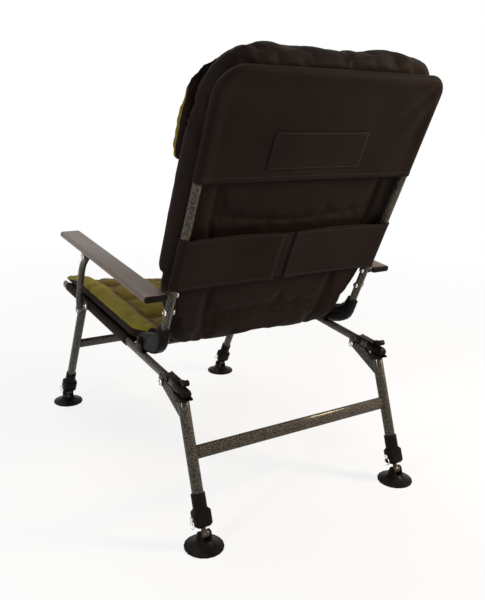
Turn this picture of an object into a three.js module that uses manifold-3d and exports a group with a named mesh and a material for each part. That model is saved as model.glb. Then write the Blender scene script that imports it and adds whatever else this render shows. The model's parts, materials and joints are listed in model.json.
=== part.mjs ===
// A carp fishing chair that folds flat: a padded seat on two straight rails, a reclined padded back,
// two armrests that link the back to the front legs, a latched rear leg frame, and four telescopic
// legs that end in tilting mud feet.
// Millimetres. +X is the sitter's left, -Y the sitter's front, +Z up. The origin is on the floor
// under the middle of the chair.

import * as THREE from 'three';
import { mergeVertices } from 'three/addons/utils/BufferGeometryUtils.js';
import Module from 'manifold-3d';

const wasm = await Module();
wasm.setup();

// Fits

const fit = 0.3; // gap between pieces that touch or run in each other
const overrun = 2; // how far a cutting shape runs past what it cuts
const facetDepth = 0.32; // how deep a facet may lie inside the round face that it stands for
const lap = 0.6; // how deep welded pieces of one solid run into each other

// Seat frame

const sideX = 261.5; // the plane of a rail and its rear leg
const seatPitch = 5.14; // degrees, the seat falls towards the back
const railHeightAtHinge = 317; // rail centre line above the floor, under the back hinge
const railFront = 505; // rail length ahead of the back hinge
const railRear = 203; // rail length behind the back hinge
const railDeep = 20;
const railWide = 13;
const tubeWall = 1.5;
const seatTubeRadius = 9;
const frontTubeInset = 12; // front cross tube, behind the front ends of the rails
const frontTubeDrop = 54; // how far its middle hangs below its ends
const frontTubeHandleShare = 0.35;
const frontTubeSteps = 14;
const bezierMiddleShare = 0.75; // how much of its handles' depth a cubic curve reaches in its middle
const rearTubeAhead = 45; // rear cross tube, ahead of the back hinge
const slingCloth = 2;
const slingFront = 480;
const slingRear = 78;
const slingSag = 18;
const slingWebDrop = 3;
const slingGap = 1; // between the seat cushion and the cloth under it
const slingColumns = 16;
const slingRows = 8;

// Back hinge

const hingeRise = 32; // hinge axis above the rail centre line
const hingePinRadius = 4;
const hingeHeadRadius = 7;
const hingeHeadThick = 3;
const hingeEarThick = 2.5;
const hingeEarRadius = 12;
const hingeBaseLong = 36;
const barrelRadius = 18.5;
const barrelWide = 24;
const coverEdge = 6;
const socketDeep = 40;
const elbowSteps = 6;
const coverDeep = 26;
const coverBrow = 38; // degrees, how steeply the cover's upper edge rises along the back
const elbowHandleShare = 0.6;
const browEndShare = 0.94;

// Back frame

const backLean = 22.95; // degrees from upright
const backInset = 6.5; // the plane of a back tube, inside its rail's
const backTubeRadius = 9.2;
const backTubeOffset = 69; // tube axis behind the hinge axis
const coverTop = 90; // upper edge of the hinge cover, along the back from the hinge axis
const backHeight = 638; // axis of the top tube, along the back from the hinge axis
const backCorner = 50; // bend radius of the upper corners
const cornerStub = 10;
const bendSteps = 4;
const stopBoltUp = 132;
const armPivotUp = 176.3;
const boltRadius = 3;
const domeRadius = 5;
const domeThick = 4;

// Cloth on the back frame

const backCloth = 1.5;
const panelCover = backTubeRadius + fit + backCloth; // outer face of the cloth from the tube's axis
const panelFootShare = 0.675; // lower edge of the upper panel, of the back's height
const panelRound = 5;
const bandFoot = 192.5;
const bandTop = 310;
const bandLeftEdge = 24;
const bandRightEdge = 2;
const bandWeb = 2.4;
const tongueReach = 70;
const tongueInset = 19;
const bandStep = 1.3; // how much deeper the right half of the band lies than the left

// Cushions

const seatPad = { overhang: 3.5, front: 534, rear: -5, clear: 13, border: 60, borderTop: 54, middleTop: 36,
  seamDeep: 9, frontDrop: 46, lipLong: 150, lipThick: 24, frontSag: 52, underSag: 62, sagLong: 230, rearLevel: 60,
  rearRise: 70, rim: 7, rearClear: 1.2 };
const seatSeamShares = [0.25, 0.5, 0.75];
const backPad = { overhang: 13, foot: 22, rise: 34, front: 17, fuller: 9, border: 62, seamDeep: 6, seamDroop: 22, crown: 5,
  rim: 12, footNarrow: 38 };
const backSeamShares = [0.12, 0.308, 0.506, 0.705, 0.859]; // cross seams, up the back cushion
const pillow = { overhang: 11, foot: 438, rise: 22, thick: 51, rim: 14, crown: 6, gather: 3 };
const pillowGathers = 7;
const padColumns = 16;
const pillowCells = 12;
const seatRowSteps = 5; // rows of cells between two seams
const backRowSteps = 4;

// Shapes of the cushions

const seatCornerPower = 14;
const backCornerPower = 8;
const pillowCornerPower = 4.5;
const rimPower = 6;
const edgePower = 12;
const puffPower = 0.7;
const sagAlongPower = 1.15;
const sagAcrossPower = 1.4;
const borderBlendShares = [0.08, 0.12];
const middleFallShare = 0.45;
const seatNarrowShares = [0.75, 0.95];
const backNarrowShares = [0.35, 1];
const backFullerShares = [0.06, 0.21];
const backRearSeamShare = 0.5;
const gatherShares = [0.86, 1];

// Armrests

const armOverhang = 34.5; // an armrest's middle, outside its rail's plane
const armWide = 50;
const armThick = 13.5;
const armCorner = 5;
const armWall = 1.8;
const armBehindPivot = 8;
const armAheadPivot = 480;
const armSlope = 5.6; // degrees, the armrests rise towards the front
const armCapThick = 4;
const armPlugDeep = 3.5;
const armPivotRadius = 4;
const spacerRadius = 8;
const clevisAhead = 363;
const clevisDrop = 23.3;
const clevisEar = 2.5;
const clevisRadius = 8;
const clevisFootHalf = 12;
const clevisSide = 1; // play on each side of the support in its clevis

// Front leg frame

const postAhead = 338.4; // its pivot on the rail, ahead of the back hinge
const frontLean = 26.9; // degrees from upright
const frontLegInset = 1.8; // the plane of a front leg, inside its rail's
const frontLegRadius = 11;
const frontLegOffset = 25.8; // leg axis ahead of the pivot
const frontLegTop = 31.7; // upper end of the leg tube below the pivot
const frontBarDrop = 172.3;
const postPinRadius = 4;
const postPlate = 2.6;
const postPlateMargin = 12;
const legBoltInset = 10; // leg bolt below the leg's upper end
const rearBoltBack = 17.8;
const rearBoltRise = 9.2;
const plugDome = 5;
const plugDeep = 14;
const plugSteps = 12;
const plugShoulderShares = [0.7, 0.8]; // of its radius and of its dome
const supportRadius = 8.4;
const supportFootAhead = 0.5; // foot of the arm support, ahead of the pivot
const supportFootDrop = 11.5;
const supportSteps = 8;
const supportBoreShare = 0.1;
const supportMiddleShares = [[0, 0, 0.13], [0.08, 0.12, 0.36], [0.36, 0.33, 0.61], [0.72, 0.62, 0.83]];

// Rear leg frame

const gussetBack = 110; // its pivot behind the back hinge, along the rail
const gussetDrop = 17; // its pivot below the rail centre line
const rearLean = 20.1; // degrees from upright
const rearLegRadius = 12.1;
const rearLegOffset = 77.8; // leg axis behind the pivot
const rearLegTop = 40.6; // upper end of the leg tube below the pivot
const rearBarDrop = 145.8;
const barDeep = 28;
const barWide = 13;
const lugRadius = 8;
const lugThick = 2.5;
const gussetWide = 11.2;
const gussetSheet = 2;
const gussetTip = 6.4;
const gussetTopLong = 43;
const gussetLegTop = 58;
const gussetLegFoot = 83;
const gussetBoltRadius = 2.75;
const gussetHeadRadius = 5.5;
const gussetHeadThick = 3;

// Rail end, saddle and latch

const capSleeve = 2;
const capFront = 165; // front edge of the end cap, behind the back hinge
const capNose = 11.5;
const saddleLong = 38;
const saddleBack = 6; // how far its middle lies behind the leg's axis
const saddleWide = 25;
const saddleDeep = 15;
const saddlePlug = 18;
const saddleCheek = 4;
const latchPivot = 134;
const latchAhead = 3; // the strip's front edge, ahead of its pivot
const latchStripEnd = 187;
const latchEnd = 202.5; // the roller's axis, behind the back hinge
const latchSheet = 1.6;
const latchStub = 2;
const latchStubRadius = 2.5;
const latchCheek = 7;
const latchArmRadius = 4;
const rollerHeight = 21.5;
const rollerRadius = 6.5;
const rollerWide = 14;
const pegRadius = 2.5;
const pegPlace = 178;
const pegDeep = 6;
const pegSlotLong = 14;

// Telescopic legs, seen from the pin of the foot upwards along the leg

const innerWall = 1.4;
const innerFoot = 21.5;
const innerLong = 185;
const stemRadius = 5.2;
const eyeRadius = 8;
const eyeWide = 17;
const lockHoles = 3;
const lockPitch = 36;
const lockHeight = 35.5;
const lockHoleRadius = 3;
const clampFoot = 15.5;
const clampBlockTop = 52.5;
const clampTop = 82.5;
const clampWall = 2.4;
const clampBlockWide = 37;
const clampBlockDeep = 31;
const clampBlockCorner = 8;
const clampEdge = 5;
const outerFoot = 27.5;

// Lock pins

const lockPinRadius = 2.4;
const lockHeadRadius = 5;
const lockHeadThick = 3;
const lockStandOff = 3;
const lockRingRadius = 8;
const lockWireRadius = 1.2;

// Mud feet

const footRadius = 41;
const footPinHeight = 28;
const footPinRadius = 3;
const footPinHead = 2.5;
const footPinHeadRadius = 4.5;
const footRim = 3.2;
const footRimWide = 5;
const footDish = 4;
const footSkin = 3;
const footShoulderShare = 0.62;
const footHubRadius = 19;
const footHubTop = 16;
const hubEdgeShare = 0.75;
const footSteps = 18;
const footEarThick = 4;
const footEarRadius = 8.5;
const footEarFootWide = 30;

// Materials, from the finishes in the photograph

const hammered = new THREE.MeshStandardMaterial({ color: 0x6f6a60, roughness: 0.42, metalness: 0.75 });
const moulded = new THREE.MeshStandardMaterial({ color: 0x171615, roughness: 0.55, metalness: 0 });
const zinc = new THREE.MeshStandardMaterial({ color: 0xcfccc4, roughness: 0.3, metalness: 0.9 });
const blackCloth = new THREE.MeshStandardMaterial({ color: 0x201d1c, roughness: 0.9, metalness: 0 });
const oliveCloth = new THREE.MeshStandardMaterial({ color: 0x8a7a3c, roughness: 0.95, metalness: 0 });
const armPaint = new THREE.MeshStandardMaterial({ color: 0x9b8c7c, roughness: 0.45, metalness: 0.5 });

// Solids

function solid(geometry) {
  const bare = geometry.clone();
  bare.deleteAttribute('normal');
  bare.deleteAttribute('uv');
  const merged = mergeVertices(bare);
  return new wasm.Manifold(new wasm.Mesh({
    numProp: 3,
    vertProperties: new Float32Array(merged.attributes.position.array),
    triVerts: new Uint32Array(merged.index.array),
  }));
}

function joined(solids) {
  return solids.reduce((whole, next) => whole.add(next));
}

function cutBy(body, cutters) {
  return cutters.reduce((left, cutter) => left.subtract(cutter), body);
}

function piece(name, body, material) {
  const { vertProperties, triVerts } = body.getMesh();
  const geometry = new THREE.BufferGeometry();
  geometry.setAttribute('position', new THREE.BufferAttribute(new Float32Array(vertProperties), 3));
  geometry.setIndex(new THREE.BufferAttribute(new Uint32Array(triVerts), 1));
  geometry.computeVertexNormals();
  const mesh = new THREE.Mesh(geometry, material);
  mesh.name = name;
  return mesh;
}

// Sections and outlines are lists of [x, y] points

// Points along an arc, close enough that no facet lies deeper than facetDepth inside it
function arc(x, y, radius, from, to) {
  const step = 2 * Math.acos(Math.max(1 - facetDepth / radius, 0.5));
  const count = Math.max(2, Math.ceil(Math.abs(to - from) / step));
  return Array.from({ length: count + 1 }, (_, i) => {
    const angle = from + (to - from) * i / count;
    return [x + radius * Math.cos(angle), y + radius * Math.sin(angle)];
  });
}

function disc(radius, x = 0, y = 0) {
  return [...arc(x, y, radius, 0, Math.PI), ...arc(x, y, radius, Math.PI, 2 * Math.PI)];
}

function flatOval(wide, deep, x = 0, y = 0) {
  const radius = Math.min(wide, deep) / 2;
  const reachX = wide / 2 - radius;
  const reachY = deep / 2 - radius;
  const turn = wide > deep ? -Math.PI / 2 : 0;
  return [
    ...arc(x + reachX, y + reachY, radius, turn, turn + Math.PI),
    ...arc(x - reachX, y - reachY, radius, turn + Math.PI, turn + 2 * Math.PI),
  ];
}

function roundedBox(wide, deep, corner) {
  const x = wide / 2 - corner;
  const y = deep / 2 - corner;
  return [
    ...arc(x, -y, corner, -Math.PI / 2, 0),
    ...arc(x, y, corner, 0, Math.PI / 2),
    ...arc(-x, y, corner, Math.PI / 2, Math.PI),
    ...arc(-x, -y, corner, Math.PI, 1.5 * Math.PI),
  ];
}

// A strip with round ends from one point to another
function strip(from, to, radius) {
  const angle = Math.atan2(to[1] - from[1], to[0] - from[0]);
  return [
    ...arc(to[0], to[1], radius, angle - Math.PI / 2, angle + Math.PI / 2),
    ...arc(from[0], from[1], radius, angle + Math.PI / 2, angle + 1.5 * Math.PI),
  ];
}

// A tongue that stands on a straight foot and ends in a half circle
function tongue(centre, height, radius, footHeight, footHalf) {
  const turn = height > footHeight ? 0 : Math.PI;
  const sign = height > footHeight ? 1 : -1;
  return [
    [centre - sign * footHalf, footHeight],
    [centre + sign * footHalf, footHeight],
    ...arc(centre, height, radius, turn, turn + Math.PI),
  ];
}

function distinct(points) {
  const apart = (a, b) => Math.hypot(a[0] - b[0], a[1] - b[1]) > facetDepth / 50;
  return points.filter((point, i) => apart(point, points[(i + 1) % points.length]));
}

// The flat form of an outline, with the outlines of its openings
function face(outline, ...openings) {
  const vectors = (points) => distinct(points).map(([x, y]) => new THREE.Vector2(x, y));
  const shape = new THREE.Shape(vectors(outline));
  openings.forEach((opening) => shape.holes.push(new THREE.Path(vectors(opening))));
  return shape;
}

// Extrusions: the outline's own axes become Y and Z, X and Z, or X and Y

function extrusion(outline, length, edge = 0) {
  const shape = Array.isArray(outline) ? face(outline) : outline;
  return new THREE.ExtrudeGeometry(shape, {
    depth: length - 2 * edge,
    bevelEnabled: edge > 0,
    bevelSize: edge,
    bevelOffset: -edge,
    bevelThickness: edge,
    bevelSegments: 1,
  }).translate(0, 0, edge);
}

const axesYZ = new THREE.Matrix4().makeBasis(
  new THREE.Vector3(0, 1, 0), new THREE.Vector3(0, 0, 1), new THREE.Vector3(1, 0, 0));

function alongX(outline, from, to, edge = 0) {
  const low = Math.min(from, to);
  const length = Math.abs(to - from);
  return solid(extrusion(outline, length, edge).applyMatrix4(axesYZ).translate(low, 0, 0));
}

function alongY(outline, from, to, edge = 0) {
  return solid(extrusion(outline, to - from, edge).rotateX(Math.PI / 2).translate(0, to, 0));
}

function alongZ(outline, from, to, edge = 0) {
  return solid(extrusion(outline, to - from, edge).translate(0, 0, from));
}

function block(wide, long, deep, x, y, z) {
  return solid(new THREE.BoxGeometry(wide, long, deep).translate(x, y, z));
}

// A profile of [radius, height] points turned about the Z axis
function revolved(points, steps) {
  const profile = points.map(([x, y]) => new THREE.Vector2(x, y));
  return solid(new THREE.LatheGeometry(profile, steps).rotateX(Math.PI / 2));
}

function sweep(outline, path, steps) {
  return solid(new THREE.ExtrudeGeometry(face(outline), { extrudePath: path, steps }));
}

// Where a point of a tilted frame lies in the chair's own side view

function place(origin, degrees, ahead, up) {
  const angle = THREE.MathUtils.degToRad(degrees);
  return {
    y: origin.y + ahead * Math.cos(angle) - up * Math.sin(angle),
    z: origin.z + ahead * Math.sin(angle) + up * Math.cos(angle),
  };
}

function tiltedGroup(name, origin, degrees) {
  const group = new THREE.Group();
  group.name = name;
  group.position.set(0, origin.y, origin.z);
  group.rotation.x = THREE.MathUtils.degToRad(degrees);
  return group;
}

const sides = [{ word: 'left', sign: 1 }, { word: 'right', sign: -1 }];

// Planes and levels that follow from others

const backX = sideX - backInset;
const frontLegX = sideX - frontLegInset;
const armX = sideX + armOverhang;
const panelFoot = backHeight * panelFootShare;
const seatHalf = sideX + seatPad.overhang;
const backPadTop = backHeight + backPad.rise;

// The pivots of the chair in side view

const railPoint = { y: 0, z: railHeightAtHinge };
const hinge = place(railPoint, -seatPitch, 0, hingeRise);
const armPivot = place(hinge, -backLean, backTubeOffset, armPivotUp);
const clevis = place(armPivot, -armSlope, -clevisAhead, -clevisDrop);
const postPivot = place(railPoint, -seatPitch, -postAhead, 0);
const gussetPivot = place(railPoint, -seatPitch, gussetBack, -gussetDrop);

// How far down its own axis a leg reaches from its pivot to the pin of its foot
function reachToPin(pivot, lean, offset) {
  const angle = THREE.MathUtils.degToRad(lean);
  return (footPinHeight - pivot.z - offset * Math.sin(angle)) / Math.cos(angle);
}

const frontPin = reachToPin(postPivot, -frontLean, -frontLegOffset);
const rearPin = reachToPin(gussetPivot, rearLean, rearLegOffset);

// Seat frame

const latchWidth = railWide + 2 * fit;
const capDeep = railDeep + 2 * capSleeve + 2 * fit;
const stripUnder = capDeep / 2 + fit;
const capWide = railWide + 2 * capSleeve + 2 * fit;

function seatRail() {
  const section = face(flatOval(railWide, railDeep), flatOval(railWide - 2 * tubeWall, railDeep - 2 * tubeWall));
  const tube = alongY(section, -railFront, railRear);
  const lug = tongue(gussetBack, -gussetDrop, lugRadius, 0, lugRadius);
  const lugFace = railWide / 2 - lap;
  const lugs = sides.map(({ sign }) => alongX(lug, sign * lugFace, sign * (lugFace + lugThick)));
  const through = railWide + lugThick + overrun;
  return cutBy(joined([tube, ...lugs]), [
    alongX(disc(gussetBoltRadius + fit, gussetBack, -gussetDrop), -through, through),
    alongX(disc(postPinRadius + fit, -postAhead, 0), -through, through),
    alongX(disc(latchStubRadius + fit, latchPivot, 0), -through, through),
    pegSlot(),
  ]);
}

// The slot in the rail's upper wall and its cap, where the latch peg drops in
function pegSlot() {
  return alongZ(flatOval(2 * (pegRadius + 2 * fit), pegSlotLong, 0, pegPlace), 0, railDeep);
}

function seatRearTube() {
  const reach = sideX - railWide / 2 - fit;
  const section = face(disc(seatTubeRadius, -rearTubeAhead, 0), disc(seatTubeRadius - tubeWall, -rearTubeAhead, 0));
  return alongX(section, -reach, reach);
}

// The front tube hangs in a shallow bow between the rails, clear of the sitter's legs
function seatFrontTube() {
  const reach = sideX - railWide / 2 - fit;
  const handle = frontTubeHandleShare * sideX;
  const depth = -frontTubeDrop / bezierMiddleShare;
  const path = new THREE.CubicBezierCurve3(new THREE.Vector3(-sideX, 0, 0),
    new THREE.Vector3(-handle, 0, depth), new THREE.Vector3(handle, 0, depth), new THREE.Vector3(sideX, 0, 0));
  const outer = sweep(disc(seatTubeRadius), path, frontTubeSteps);
  const inner = sweep(disc(seatTubeRadius - tubeWall), path, frontTubeSteps);
  const room = block(2 * reach, 2 * seatTubeRadius + overrun, 4 * frontTubeDrop, 0, 0, 0);
  return outer.subtract(inner).intersect(room).translate([0, frontTubeInset - railFront, 0]);
}

// How far the seat hangs below the level of its sides; y counts from the back hinge
function seatSag(share, y, front, rear) {
  const lip = Math.max(0, 1 - (y + seatPad.front) / seatPad.sagLong);
  return (rear + (front - rear) * lip ** sagAlongPower) * (1 - Math.abs(share) ** sagAcrossPower);
}

function seatUnderside(share, y) {
  const level = smooth(-seatPad.rearLevel - seatPad.rearRise, -seatPad.rearLevel, y);
  return seatPad.clear - seatSag(share, y, seatPad.underSag, slingSag) * (1 - level);
}

function seatSling() {
  const wide = railWide + 2 * fit;
  const deep = railDeep + 2 * fit;
  const sleeves = sides.map(({ sign }) => {
    const outer = alongY(flatOval(wide + 2 * slingCloth, deep + 2 * slingCloth), -slingFront, -slingRear);
    const inner = alongY(flatOval(wide, deep), -slingFront - overrun, -slingRear + overrun);
    return outer.subtract(inner).translate([sign * sideX, 0, 0]);
  });
  const edge = sideX - wide / 2 - slingCloth / 2;
  const web = new THREE.BoxGeometry(2, 2, 2, slingColumns, slingRows, 1);
  const points = web.attributes.position;
  for (let i = 0; i < points.count; i += 1) {
    const x = points.getX(i) * edge;
    const y = -slingRear - (slingFront - slingRear) * (1 - points.getY(i)) / 2;
    const top = Math.min(-slingWebDrop, seatUnderside(x / seatHalf, y) - slingGap);
    points.setXYZ(i, x, y, top + slingCloth * (points.getZ(i) - 1) / 2);
  }
  const cloth = joined([...sleeves, solid(web)]);
  const pinHoles = alongX(disc(postPinRadius + 2 * fit, -postAhead, 0), -sideX - wide, sideX + wide);
  return cloth.subtract(pinHoles);
}

function hingeBracket() {
  const half = barrelWide / 2 + fit;
  const base = railDeep / 2 + fit;
  const ear = tongue(0, hingeRise, hingeEarRadius, base, hingeBaseLong / 2);
  const ears = sides.map(({ sign }) => alongX(ear, sign * half, sign * (half + hingeEarThick)));
  const heads = sides.map(({ sign }) => {
    const face = sign * (half + hingeEarThick);
    return alongX(disc(hingeHeadRadius, 0, hingeRise), face - sign * lap, face + sign * hingeHeadThick);
  });
  const plate = block(2 * half + lap, hingeBaseLong, hingeEarThick, 0, 0, base + hingeEarThick / 2);
  const pin = alongX(disc(hingePinRadius, 0, hingeRise), -half - lap, half + lap);
  return joined([plate, ...ears, ...heads, pin]);
}

function railEndCap() {
  const end = railRear + capNose;
  const radius = capDeep / 2;
  const nose = [[capFront, -radius], ...arc(end - radius, 0, radius, -Math.PI / 2, Math.PI / 2), [capFront, radius]];
  const body = alongY(flatOval(capWide, capDeep), capFront, end).intersect(alongX(nose, -capWide, capWide));
  const bore = alongY(flatOval(railWide + 2 * fit, railDeep + 2 * fit), capFront - overrun, railRear + fit);
  return cutBy(body, [bore, pegSlot()]);
}

// A padded form from a divided box: its outline has round corners, its faces follow the two surfaces,
// and its rim is drawn in above and below the middle of its edge. Its rows keep to the cross seams.
function padded(size, halfWidth, corner, rim, surfaces, droop = () => 0) {
  const rows = (size.seams.length + 1) * size.rowSteps;
  const box = new THREE.BoxGeometry(2, 2, 2, size.columns, rows, 2);
  const points = box.attributes.position;
  for (let i = 0; i < points.count; i += 1) {
    const a = points.getX(i);
    const b = 2 * alongPanels((1 + points.getY(i)) / 2, size.seams) - 1;
    const level = points.getZ(i);
    const reach = Math.max(Math.abs(a), Math.abs(b));
    const norm = (Math.abs(a) ** corner + Math.abs(b) ** corner) ** (1 / corner);
    const scale = norm > 0 ? reach / norm : 1;
    const drawn = rim * Math.abs(level) * reach ** rimPower;
    const x = a * scale * (halfWidth(b) - drawn);
    const y = b * scale * (size.halfLength - drawn) - droop(a * scale, b);
    const [low, high] = surfaces(a * scale, b * scale, reach);
    points.setXYZ(i, x, y, low + (high - low) * (level + 1) / 2);
  }
  return box;
}

// Rows that are even in number between the seams become places along the cushion
function alongPanels(share, seams) {
  const bounds = [0, ...seams, 1];
  const row = Math.min(share * (bounds.length - 1), bounds.length - 1);
  const panel = Math.min(Math.floor(row), bounds.length - 2);
  return bounds[panel] + (bounds[panel + 1] - bounds[panel]) * (row - panel);
}

// Height share of a row of sewn panels: 0 on a seam, 1 in the middle of a panel
function puff(share, seams) {
  const bounds = [0, ...seams, 1];
  const end = Math.max(1, bounds.findIndex((bound) => bound >= Math.min(share, 1)));
  const within = (share - bounds[end - 1]) / (bounds[end] - bounds[end - 1]);
  return Math.abs(Math.sin(Math.PI * within)) ** puffPower;
}

function smooth(from, to, value) {
  return THREE.MathUtils.smoothstep(value, from, to);
}

function borderAt(a, borderShare) {
  return smooth(borderShare - borderBlendShares[0], borderShare + borderBlendShares[1], Math.abs(a));
}

// The seat pad has rolled borders along its sides, sewn cross seams between them, and a front lip that
// drops over the ends of the rails and hangs down between them
function seatCushion() {
  const length = seatPad.front - seatPad.rear;
  const rearHalf = backX - barrelWide / 2 - fit - hingeEarThick - hingeHeadThick - seatPad.rearClear;
  const width = (b) => seatHalf - (seatHalf - rearHalf) * smooth(...seatNarrowShares, b);
  const surfaces = (a, b) => {
    const fromFront = (1 + b) * length / 2;
    const border = borderAt(a, 1 - seatPad.border / seatHalf);
    const panel = seatPad.middleTop - seatPad.seamDeep * (1 - puff((1 + b) / 2, seatSeamShares)) * (1 - border);
    const roll = (seatPad.borderTop - seatPad.middleTop) * border;
    const lip = Math.max(0, 1 - fromFront / seatPad.lipLong);
    const fall = seatPad.frontDrop * lip ** 2 * (middleFallShare + (1 - middleFallShare) * border);
    const sag = seatSag(a, fromFront - seatPad.front, seatPad.frontSag, 0);
    const top = panel + roll - fall - sag - seatPad.rim * Math.max(0, b) ** edgePower;
    const low = fromFront > 0 ? seatUnderside(a, fromFront - seatPad.front) : top - seatPad.lipThick;
    return [low, Math.max(top, low + seatPad.lipThick / 2)];
  };
  const size = { columns: padColumns, seams: seatSeamShares, rowSteps: seatRowSteps, halfLength: length / 2 };
  const form = padded(size, width, seatCornerPower, seatPad.rim, surfaces);
  return solid(form.translate(0, -seatPad.rear - length / 2, 0));
}

// Back

// A quarter turn from straight up, at the height where it starts, to level and inwards
class QuarterBend extends THREE.Curve {
  constructor(radius, top) {
    super();
    this.radius = radius;
    this.top = top;
  }

  getPoint(t, target = new THREE.Vector3()) {
    const angle = t * Math.PI / 2;
    const inwards = this.radius * (1 - Math.cos(angle));
    return target.set(-inwards, 0, this.top - this.radius * (1 - Math.sin(angle)));
  }
}

function backTubePath(radius, overlap) {
  const straight = alongZ(disc(radius), coverTop - socketDeep, backHeight - backCorner + lap);
  const corner = sweep(disc(radius), new QuarterBend(backCorner, backHeight), bendSteps);
  const stub = alongX(disc(radius, 0, backHeight), -backCorner - cornerStub - overlap, -backCorner + lap);
  return joined([straight, corner, stub]);
}

function backTube(sign) {
  const outer = backTubePath(backTubeRadius, 0);
  const inner = backTubePath(backTubeRadius - tubeWall, overrun);
  const foot = coverTop - socketDeep;
  const mouth = alongZ(disc(backTubeRadius - tubeWall), foot - overrun, foot + overrun);
  const tube = cutBy(outer, [inner, mouth]);
  const face = backTubeRadius - lap;
  const dome = (height, direction) => alongX(disc(domeRadius, 0, height), direction * face,
    direction * (backTubeRadius + domeThick));
  const spacerEnd = armX - armWide / 2 - backX - fit;
  const parts = [
    tube,
    dome(stopBoltUp, 1), dome(stopBoltUp, -1), dome(armPivotUp, -1),
    alongX(disc(spacerRadius, 0, armPivotUp), face, spacerEnd),
    alongX(disc(armPivotRadius, 0, armPivotUp), face, spacerEnd + 2 * armWall + domeThick),
  ];
  const whole = joined(parts);
  return sign > 0 ? whole : whole.mirror([1, 0, 0]);
}

function backTopTube() {
  const reach = backX - backCorner - cornerStub - fit;
  const section = face(disc(backTubeRadius, 0, backHeight), disc(backTubeRadius - tubeWall, 0, backHeight));
  return alongX(section, -reach, reach);
}

// The cover's underside leaves the barrel along the rail, and its upper edge rises to the socket's mouth
function hingeCover() {
  const outside = backTubeOffset + coverDeep / 2;
  const inside = backTubeOffset - coverDeep / 2;
  const under = THREE.MathUtils.degToRad(backLean - seatPitch);
  const brow = THREE.MathUtils.degToRad(coverBrow);
  const along = ([x, y], angle, reach) => [x + reach * Math.cos(angle), y + reach * Math.sin(angle)];
  const swept = (points) => new THREE.CubicBezierCurve(...points.map(([x, y]) => new THREE.Vector2(x, y)))
    .getPoints(elbowSteps).map((point) => [point.x, point.y]);
  const low = along([0, 0], under - Math.PI / 2, barrelRadius);
  const high = along([0, 0], brow + Math.PI / 2, barrelRadius);
  const elbow = [
    ...swept([low, along(low, under, outside * elbowHandleShare), [outside, coverTop * elbowHandleShare / 2],
      [outside, coverTop * elbowHandleShare]]),
    [outside, coverTop],
    [inside, coverTop],
    ...swept([[inside, coverTop * browEndShare], [inside, coverTop * elbowHandleShare],
      along(high, brow, inside * elbowHandleShare), high]),
    ...arc(0, 0, barrelRadius, brow + Math.PI / 2, under + 1.5 * Math.PI),
  ];
  const body = alongX(elbow, -barrelWide / 2, barrelWide / 2, coverEdge);
  const socket = alongZ(disc(backTubeRadius + fit, 0, backTubeOffset), coverTop - socketDeep - fit,
    coverTop + overrun);
  const pinBore = alongX(disc(hingePinRadius + fit), -barrelWide, barrelWide);
  return cutBy(body, [socket, pinBore]);
}

// The outline of the cover over the top of the back frame, drawn in by an inset
function panelOutline(inset, foot) {
  const half = backX + panelCover - inset;
  const top = backHeight + panelCover - inset;
  const corner = backCorner + panelCover - inset;
  return [
    [-half, foot],
    [half, foot],
    ...arc(half - corner, top - corner, corner, 0, Math.PI / 2),
    ...arc(corner - half, top - corner, corner, Math.PI / 2, Math.PI),
  ];
}

// The cover is a pocket pulled over the frame from above, open along its foot
function upperPanel() {
  const slab = alongY(panelOutline(0, panelFoot), -panelCover, panelCover, panelRound);
  const room = panelCover - backCloth;
  const pocket = alongY(panelOutline(backCloth, panelFoot - overrun), -room, room, panelRound - backCloth);
  const mouth = block(2 * (backX + room - panelRound), 2 * (room - panelRound), panelRound,
    0, 0, panelFoot + panelRound / 2 - overrun);
  return cutBy(slab, [pocket, mouth]);
}

function lumbarBand(sign) {
  const ring = alongZ(disc(panelCover), bandFoot, bandTop).translate([sign * backX, 0, 0]);
  const lower = sign > 0 ? 0 : bandStep;
  const inner = sign > 0 ? bandLeftEdge : bandRightEdge;
  const outerFace = panelCover - lower;
  const webLong = backX - inner;
  const web = block(webLong, bandWeb, bandTop - bandFoot, sign * (inner + webLong / 2),
    outerFace - bandWeb / 2, (bandTop + bandFoot) / 2);
  const parts = [ring, web];
  if (sign < 0) {
    const reach = tongueReach + 2 * tongueInset;
    parts.push(block(reach, bandWeb, bandTop - bandFoot - 2 * tongueInset, reach / 2 - 2 * tongueInset,
      outerFace - bandWeb * 1.5 + fit, (bandTop + bandFoot) / 2));
  }
  const bore = alongZ(disc(backTubeRadius + fit), bandFoot - overrun, bandTop + overrun);
  return joined(parts).subtract(bore.translate([sign * backX, 0, 0]));
}

// Back cushion and pillow are modelled lying down, then stood up with their crown to the front

function standing(form, foot, top) {
  return solid(form.rotateX(Math.PI / 2).translate(0, 0, (foot + top) / 2));
}

function backCushion() {
  const rear = backTubeOffset - panelCover - fit;
  const half = backX + backPad.overhang;
  const width = (b) => half - backPad.footNarrow * smooth(...backNarrowShares, -b);
  const surfaces = (a, b, reach) => {
    const border = borderAt(a, 1 - backPad.border / half);
    const seam = backPad.seamDeep * (1 - puff((1 + b) / 2, backSeamShares)) * (1 - border);
    const crown = backPad.crown * (1 - reach ** 4);
    const rimDrop = backPad.rim * reach ** edgePower;
    const front = backPad.front - backPad.fuller * smooth(...backFullerShares, (1 + b) / 2);
    return [-rear + rimDrop + backRearSeamShare * seam, -front - backPad.crown + crown - seam - rimDrop];
  };
  const droop = (a, b) => backPad.seamDroop * (1 - a * a) * Math.max(0, 1 - Math.abs(b));
  const halfLength = (backPadTop - backPad.foot) / 2;
  const size = { columns: padColumns, seams: backSeamShares, rowSteps: backRowSteps, halfLength };
  const form = padded(size, width, backCornerPower, backPad.rim, surfaces, droop);
  return standing(form, backPad.foot, backPadTop);
}

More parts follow.
